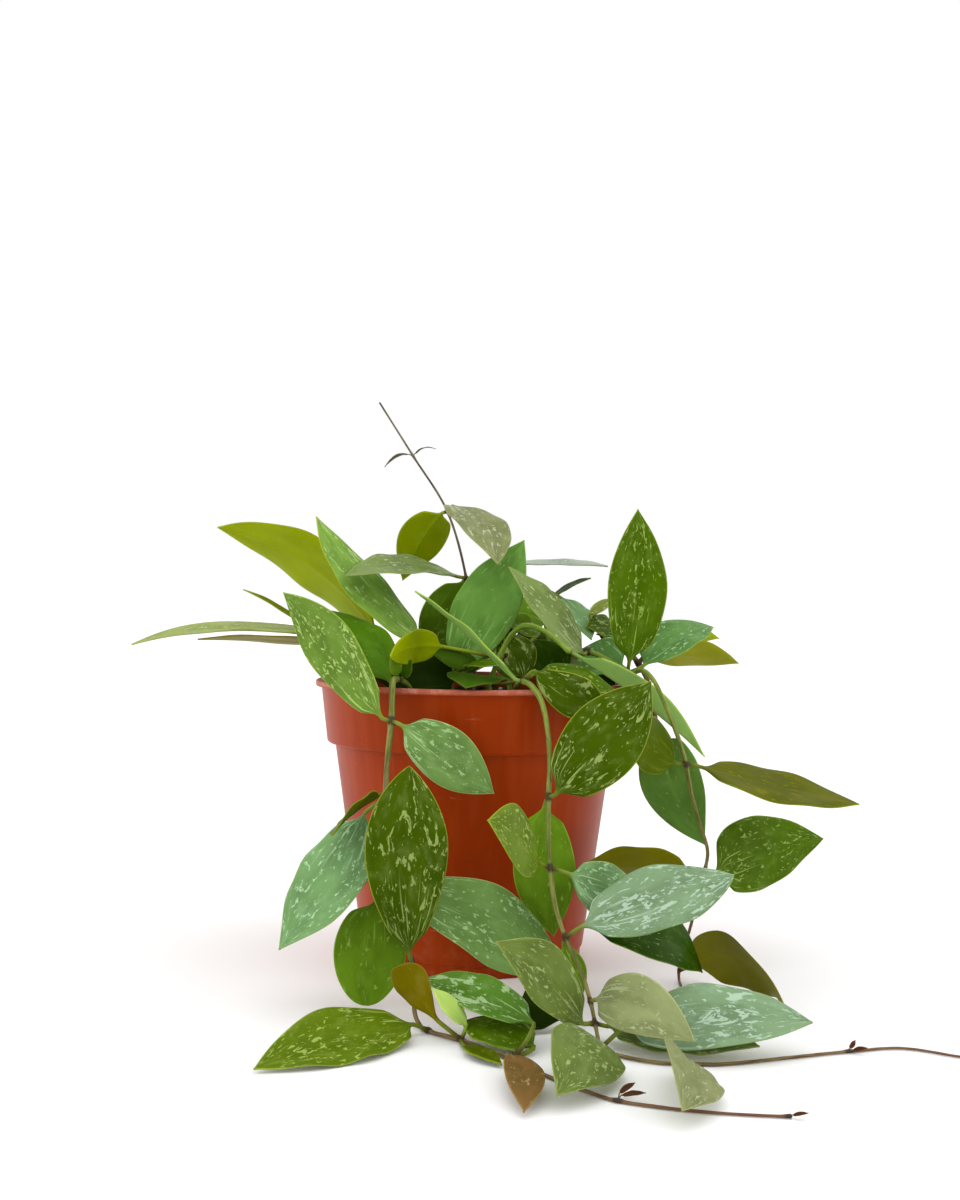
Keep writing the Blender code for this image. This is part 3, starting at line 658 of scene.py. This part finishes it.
def pot_finish():
    """Moulded satin plastic: a little cloudy, with scuffs on the lip and dust low on the wall."""
    plastic = Finish("terracotta_plastic", Specular_IOR_Level=0.2,
                     Specular_Tint=tint("ffb080"))
    place = plastic.add("TexCoord", {}, {}, "Object")
    _, _, height = plastic.parts(place)
    cloud = plastic.noise(place, 22.0, 3.0, 0.6)
    drawn = plastic.noise(place, (260, 260, 12), 2.0)
    grain = plastic.noise(place, 1400.0, 2.0)
    scuff = plastic.noise(place, (60, 60, 700), 4.0, 0.65, 1.2)
    dust = plastic.noise(place, 190.0, 4.0, 0.7)
    colour = plastic.mix(cloud.rise(0.3, 0.7) * 0.5, tint("9c3404"), tint("8a2a02"))
    colour = plastic.mix(drawn.rise(0.4, 0.7) * 0.12, colour, tint("c05a30"))
    lip = height.rise((POT_HEIGHT - LIP_HEIGHT) * MM, (POT_HEIGHT - LIP_HEIGHT / 2) * MM)
    colour = plastic.mix(lip * (0.35 + 0.5 * dust.rise(0.4, 0.65)), colour, tint("c98673"))
    colour = plastic.mix(scuff.rise(0.66, 0.74) * 0.25, colour, tint("d09078"))
    low = 1 - height.rise(2 * MM, 30 * MM)
    colour = plastic.mix(low * dust.rise(0.45, 0.75) * 0.14, colour, tint("b08a70"))
    rough = 0.36 + 0.12 * cloud + 0.2 * scuff.rise(0.62, 0.74) + 0.1 * lip
    relief = 0.7 * grain + 0.3 * drawn
    return plastic.finish(colour, rough, plastic.bump(relief, 0.03, 0.7))


def earth_finish(name, dark, light, grain_scale):
    """Rough crumbly matter in two shades."""
    earth = Finish(name, Specular_IOR_Level=0.25)
    place = earth.add("TexCoord", {}, {}, "Object")
    broad = earth.noise(place, grain_scale / 4, 3.0, 0.6)
    grain = earth.noise(place, grain_scale, 4.0, 0.7)
    colour = earth.mix((0.6 * broad + 0.6 * grain).rise(0.45, 0.75), tint(dark), tint(light))
    return earth.finish(colour, 0.85 + 0.1 * broad, earth.bump(grain, 0.5))


# ---- surfaces


def unit(vector):
    """Each vector over its length."""
    return vector / np.linalg.norm(vector, axis=-1, keepdims=True)


def stacked(*parts):
    """The parts, spread to one shape, side by side along a new last axis."""
    return np.stack(np.broadcast_arrays(*parts), axis=-1)


def smooth(low, high, value):
    """0 below low, 1 above high, and a smooth cubic between."""
    share = ((value - low) / (high - low)).clip(0, 1)
    return share * share * (3 - 2 * share)


def skin(name, rings, finish, node=None, vectors=None, colours=None):
    """A closed surface through the rings, in millimetres, with a fan over each end.

    Vectors and colours are attributes: an array of one triple a ring point, or one triple in all.
    """
    rows, around = rings.shape[:2]
    ends = rings[[0, -1]].mean(axis=1)
    points = np.concatenate([rings.reshape(-1, 3), ends]) * MM
    index = np.arange(rows * around).reshape(rows, around)
    ahead = np.roll(index, -1, axis=1)
    quads = stacked(index[:-1], ahead[:-1], ahead[1:], index[1:]).reshape(-1, 4)
    first = stacked(rows * around, ahead[0], index[0])
    last = stacked(rows * around + 1, index[-1], ahead[-1])
    corners = points[np.concatenate([quads[:, :3], quads[:, [0, 2, 3]], first, last])]
    volume = np.einsum("ij,ij->i", corners[:, 0], np.cross(corners[:, 1], corners[:, 2])).sum()
    faces = quads.tolist() + first.tolist() + last.tolist()
    if volume < 0:
        faces = [face[::-1] for face in faces]
    return piece(name, points, faces, finish, node, vectors, colours)


def placed(name, data):
    """A new object in the scene."""
    made = bpy.data.objects.new(name, data)
    bpy.context.scene.collection.objects.link(made)
    return made


def piece(name, points, faces, finish, nodes=None, vectors=None, colours=None):
    """A smooth mesh object that rides on the plant and stands for the nodes given."""
    mesh = bpy.data.meshes.new(name)
    mesh.from_pydata(points.tolist(), [], faces)
    for key, values in (vectors or {}).items():
        values = np.broadcast_to(values, (len(points), 3)) if np.ndim(values) == 1 else values
        values = np.concatenate([values, values[[0, -1]]])[:len(points)]
        layer = mesh.attributes.new(key, "FLOAT_VECTOR", "POINT")
        layer.data.foreach_set("vector", np.ascontiguousarray(values, np.float32).ravel())
    for key, colour in (colours or {}).items():
        layer = mesh.attributes.new(key, "FLOAT_COLOR", "POINT")
        layer.data.foreach_set("color", np.tile(np.float32(colour), len(points)))
    mesh.materials.append(finish)
    mesh.shade_smooth()
    made = placed(name, mesh)
    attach(made, "root")
    if nodes:
        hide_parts(*nodes)
    return made


# ---- pot and soil


def parabola(start, bend, end, share):
    """Points from start to end on the parabola whose lines there meet at bend."""
    return start * (1 - share) ** 2 + bend * 2 * share * (1 - share) + end * share**2


def rounded(outline):
    """Each corner (radius, height, rounding) of the outline as a short parabola between the points
    that lie its rounding away on both sides."""
    places = np.array([corner[:2] for corner in outline])
    share = np.linspace(0, 1, CORNER_POINTS)[:, None]
    made = [places[:1]]
    for before, here, after, corner in zip(places, places[1:], places[2:], outline[1:]):
        start = here + unit(before - here) * corner[2]
        end = here + unit(after - here) * corner[2]
        made.append(parabola(start, here, end, share))
    return np.concatenate([*made, places[-1:]])


def turned(outline, steps):
    """Rings about the Z axis: the outline's radius and height, carried round in even steps."""
    turn = np.linspace(0, math.tau, steps, endpoint=False)
    radius, height = outline[:, :1], outline[:, 1:]
    return stacked(radius * np.cos(turn), radius * np.sin(turn), height)


def inner_wall():
    """The pot's inner outline from its floor to the top of the lip."""
    step = BAND_BOTTOM + WALL
    return [
        (FOOT_RADIUS - WALL, FLOOR_RISE + WALL, 1.0),
        (BODY_RADIUS_TOP - WALL, step - 0.5, 0.35),
        (BAND_RADIUS_BOTTOM - WALL, step + 0.5, 0.35),
        (BAND_RADIUS_TOP - WALL, POT_HEIGHT - LIP_HEIGHT, 0.5),
        (BAND_RADIUS_TOP - WALL / 2, POT_HEIGHT, 0.3),
    ]


def build_pot():
    """The turned wall, with a flat lip over a wide band and a foot ring, and holes in its floor."""
    foot_inside = FOOT_RADIUS - FOOT_WIDTH
    outline = [
        (1.0, FLOOR_RISE + WALL, 0),
        *inner_wall(),
        (LIP_RADIUS, POT_HEIGHT, 0.55),
        (LIP_RADIUS, POT_HEIGHT - LIP_HEIGHT, 0.5),
        (BAND_RADIUS_TOP, POT_HEIGHT - LIP_HEIGHT, 0.35),
        (BAND_RADIUS_BOTTOM, BAND_BOTTOM, 1.1),
        (BODY_RADIUS_TOP, BAND_BOTTOM, 0.4),
        (BODY_RADIUS_BOTTOM, FOOT_HEIGHT, 0.3),
        (BODY_RADIUS_BOTTOM - 0.7, FOOT_HEIGHT - 0.5, 0.3),
        (FOOT_RADIUS, 0, 0.5),
        (foot_inside, 0, 0.4),
        (foot_inside - 0.8, FLOOR_RISE, 0.4),
        (PAD_RADIUS + 0.8, FLOOR_RISE, 0.4),
        (PAD_RADIUS, 0, 0.4),
        (1.0, 0, 0),
    ]
    pot = skin("moulded_pot", turned(rounded(outline), POT_STEPS), pot_finish(),
               ["pot"])
    turns = math.tau * (np.arange(DRAIN_COUNT) + 0.5) / DRAIN_COUNT
    post = turned(np.array([(DRAIN_RADIUS, -WALL), (DRAIN_RADIUS, FLOOR_RISE + 2 * WALL)]), 48)
    for number, turn in enumerate(turns, 1):
        place = DRAIN_CIRCLE * np.array([math.cos(turn), math.sin(turn), 0])
        drill(pot, post + place, f"drain_{number}")


def drill(body, rings, name):
    """Cuts the upright post through the body and keeps the result as the body's mesh."""
    around = rings.shape[1]
    index = np.arange(2 * around).reshape(2, around)
    sides = stacked(index[0], np.roll(index[0], -1), np.roll(index[1], -1), index[1])
    mesh = bpy.data.meshes.new(name)
    faces = [*sides.tolist(), index[0, ::-1].tolist(), index[1].tolist()]
    mesh.from_pydata((rings.reshape(-1, 3) * MM).tolist(), [], faces)
    cutter = placed(name, mesh)
    cut = body.modifiers.new(name, "BOOLEAN")
    cut.operation = "DIFFERENCE"
    cut.solver = "MANIFOLD"
    cut.object = cutter
    ready = body.evaluated_get(bpy.context.evaluated_depsgraph_get())
    old = body.data
    body.data = bpy.data.meshes.new_from_object(ready)
    body.modifiers.clear()
    bpy.data.meshes.remove(old)
    bpy.data.objects.remove(cutter)
    bpy.data.meshes.remove(mesh)


def lumps(x, y, rng, lengths, heights):
    """A sum of plane waves: one for each length and height, with a random heading and start."""
    total = 0 * x
    for length, height in zip(lengths, heights):
        heading, start = rng.uniform(0, math.tau, 2)
        phase = (x * math.cos(heading) + y * math.sin(heading)) * math.tau / length
        total = total + height * np.sin(phase + start)
    return total


def soil_height(x, y):
    """The soil's top: a low crown with lumps from a few waves of each size."""
    rng = np.random.default_rng(4)
    lengths = np.repeat([17, 9, 5, 3], 5)
    heights = np.repeat([0.28, 0.22, 0.14, 0.07], 5)
    reach = np.hypot(x, y) / BAND_RADIUS_TOP
    return SOIL_TOP - SOIL_CROWN * reach**2 - 0.3 + lumps(x, y, rng, lengths, heights)


def build_soil():
    """Soil that fills the pot: turned inside the wall, with a lumpy top strewn with bits."""
    wall = [(radius - SOIL_GAP, height + SOIL_GAP) for radius, height, _ in inner_wall()[:3]]
    low, high = inner_wall()[2:4]
    slope = (high[0] - low[0]) / (high[1] - low[1])
    edge = low[0] + (SOIL_TOP - low[1]) * slope - SOIL_GAP
    wall.append((edge, SOIL_TOP - 2))
    inward = np.linspace(edge, 0.4, SOIL_RINGS)
    outline = np.concatenate([[(1.0, FLOOR_RISE + WALL + SOIL_GAP)], wall,
                              stacked(inward, SOIL_TOP)])
    rings = turned(outline, SOIL_STEPS)
    top = rings[-SOIL_RINGS:]
    top[..., 2] = soil_height(top[..., 0], top[..., 1])
    dark = earth_finish("potting_soil", "120b07", "3a281b", 900.0)
    skin("potting_soil", rings, dark, ["soil"])
    chips = earth_finish("bark_chips", "24160d", "5d4229", 1400.0)
    white = earth_finish("perlite", "b9b2a4", "ece8de", 1500.0)
    rng = np.random.default_rng(11)
    strew("soil_crumbs", CRUMBS, rng, (0.5, 1.7), (1, 0.8, 0.6), edge, dark)
    strew("soil_fibres", FIBRES, rng, (1.4, 3.4), (1, 0.12, 0.1), edge, chips)
    strew("perlite_grains", PERLITE, rng, (0.7, 1.3), (1, 0.9, 0.75), edge, white)


def strew(name, count, rng, sizes, shape, edge, finish):
    """Bits of matter on the soil: icosahedra with uneven corners, stretched, turned at random and
    half sunk, merged into one mesh."""
    golden = (1 + 5**0.5) / 2
    ends = [(a, b) for a in (-1, 1) for b in (-golden, golden)]
    corners = np.array([(0, a, b) for a, b in ends] + [(a, b, 0) for a, b in ends]
                       + [(b, 0, a) for a, b in ends]) / math.hypot(1, golden)
    gaps = np.linalg.norm(corners[:, None] - corners, axis=-1)
    side = gaps[gaps > 0.1].min() * 1.01
    faces = [(i, j, k) for i in range(12) for j in range(i + 1, 12) for k in range(j + 1, 12)
             if max(gaps[i, j], gaps[j, k], gaps[i, k]) < side]
    outward = [np.linalg.det(corners[list(face)]) > 0 for face in faces]
    faces = np.array([face if out else face[::-1] for face, out in zip(faces, outward)])
    reach = edge * np.sqrt(rng.uniform(0, 0.93, count))
    turn = rng.uniform(0, math.tau, count)
    x, y = reach * np.cos(turn), reach * np.sin(turn)
    size = sizes[0] + (sizes[1] - sizes[0]) * rng.uniform(0, 1, count) ** 2
    bits = corners * rng.uniform(0.7, 1.15, (count, 12, 1)) * shape * size[:, None, None]
    spin, lean = rng.uniform(0, math.tau, count), rng.uniform(-0.4, 0.4, count)
    c, s, cl, sl = np.cos(spin), np.sin(spin), np.cos(lean), np.sin(lean)
    zero = np.zeros(count)
    about_z = np.array([[c, -s, zero], [s, c, zero], [zero, zero, zero + 1]])
    about_y = np.array([[cl, zero, sl], [zero, zero + 1, zero], [-sl, zero, cl]])
    bits = np.einsum("ijn,jkn,npk->npi", about_z, about_y, bits)
    rise = size * shape[2] * 0.35
    bits += stacked(x, y, soil_height(x, y) + rise)[:, None]
    every = (faces + 12 * np.arange(count)[:, None, None]).reshape(-1, 3)
    piece(name, bits.reshape(-1, 3) * MM, every.tolist(), finish)


# ---- stems


def smooth_route(route, spacing):
    """Points along a curve through the route, and the length along it at each route point.

    Each stretch is a cubic. Its slope at a route point is the run from the point before to the
    point after, over the distance travelled between them.
    """
    points = np.array(route, float)
    steps = np.linalg.norm(np.diff(points, axis=0), axis=1)
    along = np.concatenate([[0], np.cumsum(steps)])
    before = np.concatenate([[0], np.arange(len(points) - 1)])
    after = np.minimum(np.arange(len(points)) + 1, len(points) - 1)
    slopes = (points[after] - points[before]) / (along[after] - along[before])[:, None]
    curve = []
    marks = [0]
    for i, step in enumerate(steps):
        count = max(1, round(step / spacing))
        t = (np.arange(count) / count)[:, None]
        rise = 3 * t**2 - 2 * t**3
        lift = t**3 - 2 * t**2 + t
        fall = t**3 - t**2
        curve.append(points[i] * (1 - rise) + points[i + 1] * rise
                     + step * (slopes[i] * lift + slopes[i + 1] * fall))
        marks.append(marks[-1] + count)
    return np.concatenate([*curve, points[-1:]]), np.array(marks)


def carried(way, first):
    """Directions square to a path: the first one, made square to each step of the way in turn."""
    found = []
    last = first
    for direction in way:
        last = unit(last - (last @ direction) * direction)
        found.append(last)
    return np.array(found)


def build_stem(name, stem, finish, seed):
    """A tube along the stem's route, on a straight foot, with a ring of swelling at each knot and a
    round end. It lies on the surface where its route reaches it."""
    points, marks = smooth_route(stem.route, STEM_SPACING)
    along = np.concatenate([[0], np.cumsum(np.linalg.norm(np.diff(points, axis=0), axis=1))])
    left = (1 - along / along[-1]) ** TAPER_POWER
    radii = stem.tip_radius + (stem.radius - stem.tip_radius) * left
    route = np.array(stem.route, float)
    knots = np.array([leaf.knot for leaf in stem.leaves + stem.extra], float)
    apart = np.linalg.norm((route[:, None] - knots)[:, :, :2], axis=2).min(axis=1)
    at_knots = along[marks[apart < KNOT_REACH]]
    near = np.exp(-(((along[:, None] - at_knots) / KNOT_LENGTH) ** 2)).max(axis=1)
    wobble = lumps(along, along, np.random.default_rng(seed), [31, 17, 9], [0.03, 0.03, 0.02])
    radii = radii * (1 + KNOT_SWELL * near + wobble)
    points[:, 2] = np.maximum(points[:, 2], radii + FLOOR_GAP)
    foot = [(*stem.route[0][:2], STEM_FOOT)]
    points = np.concatenate([foot, points])
    radii = np.concatenate([[stem.radius], radii])
    near = np.concatenate([[0], near])
    along = np.concatenate([[0], along + stem.route[0][2] - STEM_FOOT])

    way = unit(np.gradient(points, axis=0))
    bend = np.radians(END_ANGLES)
    tail = radii[-1] * np.sin(bend)[:, None]
    points = np.concatenate([points, points[-1] + way[-1] * tail])
    radii = np.concatenate([radii, radii[-1] * np.cos(bend)])
    way = np.concatenate([way, way[[-1] * len(bend)]])
    near = np.concatenate([near, near[[-1] * len(bend)]])
    along = np.concatenate([along, along[-1] + tail[:, 0]])
    across = carried(way, np.array([0.8, 0.6, 0.1]))
    other = np.cross(way, across)
    turn = np.linspace(0, math.tau, STEM_SIDES, endpoint=False)
    lobes = 1 + 0.12 * near[:, None] * np.cos(2 * turn + seed)
    ring = (radii[:, None] * lobes)[..., None] * (
        across[:, None] * np.cos(turn)[:, None] + other[:, None] * np.sin(turn)[:, None])
    rings = points[:, None] + ring

    age = smooth(*stem.browning, along / along[-1])
    place = stacked(along[:, None], radii[:, None] * turn, seed * 7.3)
    tip = smooth(*TIP_REACH, along / along[-1]) * (stem.tip_radius < TIP_RADIUS)
    dark = near * (stem.browning[0] < 1)
    share = stacked(age, dark, tip).repeat(STEM_SIDES, axis=0)
    vectors = {"place": place.reshape(-1, 3), "share": share}
    skin(f"fine_{name}", rings, finish, [name], vectors)


# ---- leaves


def blade_width(along, leaf):
    """Half the blade's width at shares of its length: a sine arch with a round base and a
    pointed tip, widest at the leaf's peak."""
    power = math.log(0.5) / math.log(leaf.peak)
    arch = np.sin(math.pi * along**power).clip(0)
    return leaf.width / 2 * arch ** (BASE_FULLNESS + (TIP_FULLNESS - leaf.blunt) * along)


def stalk_bend(knot, base, slope, stem):
    """The middle point of the stalk's curve, which leaves the stem nearly square to it."""
    route = np.array(stem.route, float)
    here = np.linalg.norm(route - knot, axis=1).argmin()
    last = len(route) - 1
    run = unit(route[min(here + 1, last)] - route[here - 1])
    away = base - knot
    if here < last:
        away = away - STALK_SQUARENESS * (away @ run) * run
    start = knot + unit(away) * stem.radius
    reach = np.linalg.norm(base - start)
    return start + (base - start) / 2 - slope * reach * STALK_REACH


def leaf_rows(leaf, stem):
    """Rows from the knot to the tip: midrib points, shares along the blade (below 0 on the stalk),
    and across and upward directions.

    The blade's midrib is a shallow parabola over its chord. The stalk is a parabola from the knot
    that meets the blade in line, and it keeps the blade's across direction.
    """
    knot, base, tip = (np.array(place, float) for place in (leaf.knot, leaf.base, leaf.tip))
    azimuth, elevation = np.radians(leaf.faces)
    up = np.array([math.cos(azimuth) * math.cos(elevation), math.sin(azimuth) * math.cos(elevation),
                   math.sin(elevation)])
    length = np.linalg.norm(tip - base)
    ahead = (tip - base) / length
    up = unit(up - (up @ ahead) * ahead)
    side = np.cross(ahead, up)
    bow = (up * leaf.arch + side * leaf.sway) * length * 4
    even = np.linspace(0, 1, BLADE_ROWS)[:, None]
    share = 0.6 * even + 0.2 * (1 - np.cos(math.pi * even))
    middle = base + (tip - base) * share + bow * share * (1 - share)
    slope = unit(tip - base + bow * (1 - 2 * share))
    upward = unit(up - (slope @ up)[:, None] * slope)
    across = np.cross(slope, upward)

    bend = stalk_bend(knot, base, slope[0], stem)
    count = max(5, round(np.linalg.norm(base - knot) / STALK_SPACING))
    t = (np.arange(count) / count)[:, None]
    stalk = parabola(knot, bend, base, t)
    way = unit((bend - knot) * (1 - t) + (base - bend) * t)
    stalk_across = carried(way[::-1], across[0])[::-1]
    middle = np.concatenate([stalk, middle])
    across = np.concatenate([stalk_across, across])
    upward = np.concatenate([np.cross(stalk_across, way), upward])
    return middle, np.concatenate([t - 1, share])[:, 0], across, upward, length


def build_leaf(name, leaf, stem, finish, seed, node=None):
    """Rings from the knot to the tip: round along the stalk, then flattening into the blade.

    Across the blade each half lifts by the leaf's fold, with a soft valley on the midrib and waves
    that grow towards the margin. The upper and lower faces are a lens apart, thinner to the tip,
    with a groove over the midrib and a ridge under it.
    """
    rng = np.random.default_rng(seed)
    middle, share, across, upward, length = leaf_rows(leaf, stem)
    blade = share.clip(0, 1)[:, None]
    stalk = STALK_RADIUS * min(1, leaf.width / SMALL_LEAF)
    half = np.hypot(blade_width(blade, leaf), stalk * (1 - blade) ** 4)
    half = np.maximum(half, TIP_HALF)
    thick = BLADE_THICKNESS * min(1, leaf.width / SMALL_LEAF) * (1 - 0.5 * blade)

    even = np.linspace(1, -1, 2 * HALF_RING - 1)
    even = np.concatenate([even, even[-2:0:-1]])
    over = np.concatenate([np.ones(2 * HALF_RING - 1), -np.ones(2 * HALF_RING - 3)])
    v = even - MARGIN_CROWDING * np.sin(math.tau * even)
    lens = np.sqrt((1 - np.abs(v) ** 5).clip(0))
    valley = np.sqrt(v**2 + 0.015) - 0.12
    fold = math.radians(leaf.fold)
    counts = rng.uniform(*MARGIN_WAVES, 2)
    starts = rng.uniform(0, math.tau, 2)
    strength = rng.uniform(*WAVE_HEIGHT) * leaf.width
    ripple = [np.sin(math.tau * counts[k] * blade + starts[k]) for k in (0, 1)]
    wave = strength * np.where(v > 0, ripple[0], ripple[1]) * v**2 * np.sin(math.pi * blade)
    cup = rng.uniform(*CUP) * half * v**2
    x = half * v * math.cos(fold)
    rib = np.exp(-((x / RIB_WIDTH) ** 2)) * (1 - blade)
    y = half * valley * math.sin(fold) + cup + wave + over * thick / 2 * lens
    y = y - rib * np.where(over > 0, GROOVE, RIDGE)
    curl = rng.uniform(*TIP_CURL) * length * (blade - 0.75).clip(0) ** 2 * 4
    y = y - curl

    waist = stalk * (1 + 0.6 * smooth(-0.75, -1.0, share)[:, None])
    flat = smooth(0.0, STALK_BLEND, share)[:, None]
    x = x * flat + waist * np.sin(math.pi / 2 * even) * (1 - flat)
    y = y * flat + waist * over * np.cos(math.pi / 2 * even) * (1 - flat)
    rings = middle[:, None] + across[:, None] * x[..., None] + upward[:, None] * y[..., None]
    rings[..., 2] = np.maximum(rings[..., 2], FLOOR_GAP)

    tone = TONES[leaf.tone]
    place = stacked(share[:, None] * length, v * leaf.width / 2, seed * 5.17)
    inward = half * (1 - np.abs(v)) + 9 * (1 - flat)
    shares = stacked(share[:, None], inward, over > 0)
    vectors = {"place": place.reshape(-1, 3), "share": shares.reshape(-1, 3),
               "habit": np.array([tone.flecks, tone.patches, 0.0])}
    shade = rng.uniform(0.97, 1.03)
    colours = {key: np.array(tint(getattr(tone, key))) * (shade, shade, shade, 1)
               for key in LEAF_COLOURS}
    skin(name, rings, finish, node, vectors, colours)


def build_plant():
    """Every stem and its leaves: first those that the frame has, then the others."""
    bark = stem_finish()
    dry = twig_finish()
    wax = leaf_finish()
    seed = 1
    for number, (name, stem) in enumerate(STEMS.items(), 1):
        twig = name == "twig"
        build_stem(name, stem, dry if twig else bark, number)
        for count, leaf in enumerate(stem.leaves + stem.extra, 1):
            node = [f"leaf_{name}_{count}"] if count <= len(stem.leaves) else None
            build_leaf(f"{name}_leaf_{count}", leaf, stem, wax, seed, node)
            seed += 1


# ---- stage


def build_stage():
    """A pale floor, a white surround that is dimmer towards the front, three wide lights and the
    camera at the front."""
    mesh = bpy.data.meshes.new("floor")
    corners = [(x * FLOOR_REACH, y * FLOOR_REACH, FLOOR_LEVEL)
               for x, y in ((-1, -1), (1, -1), (1, 1), (-1, 1))]
    mesh.from_pydata(corners, [], [(0, 1, 2, 3)])
    pale = Finish("pale_floor", Specular_IOR_Level=0.2)
    place = pale.add("TexCoord", {}, {}, "Object")
    tone = pale.mix(pale.noise(place, 3.0), (0.93, 0.93, 0.93, 1), (0.96, 0.96, 0.96, 1))
    mesh.materials.append(pale.finish(tone, 0.75))
    floor = placed("floor", mesh)

    world = bpy.data.worlds.new("studio")
    world.use_nodes = True
    sky = Nodes(world.node_tree)
    way = sky.add("TexCoord", {}, {}, "Generated")
    rear = sky.add("VectorMath", {"operation": "DOT_PRODUCT"}, {0: way, 1: BRIGHT_SIDE}, "Value")
    seen = sky.add("LightPath", {}, {}, "Is Camera Ray")
    glow = 0.72 + 0.3 * rear.rise(-0.8, 0.7)
    shade = world.node_tree.nodes["Background"]
    shade.inputs["Color"].default_value = (1, 1, 1, 1)
    sky.put(shade.inputs["Strength"], glow * (1 - seen) + seen)
    bpy.context.scene.world = world

    soft_light("top_light", (0, -30, 100), 60, 0.6)
    soft_light("left_light", (-100, -40, 45), 50, 0.7)
    soft_light("right_light", (100, -40, 45), 50, 0.7)

    lens = bpy.data.cameras.new("camera")
    lens.sensor_width = 36
    lens.lens = CAMERA_LENS
    lens.clip_end = 50
    camera = placed("camera", lens)
    pan, dip, roll = CAMERA_TURNS
    camera.matrix_world = (
        Matrix.Translation(CAMERA_PLACE) @ Matrix.Rotation(pan, 4, "Z")
        @ Matrix.Rotation(math.radians(90) + dip, 4, "X") @ Matrix.Rotation(roll, 4, "Z"))
    bpy.context.scene.camera = camera
    bpy.context.scene.view_settings.view_transform = "Standard"


def soft_light(name, source, spread, strength):
    """A wide light, as from a far soft box, that comes from the source's direction."""
    light = bpy.data.lights.new(name, "SUN")
    light.angle = math.radians(spread)
    light.energy = strength
    lamp = placed(name, light)
    lamp.matrix_world = Vector(source).to_track_quat("Z", "Y").to_matrix().to_4x4()


build_stage()
build_pot()
build_soil()
build_plant()
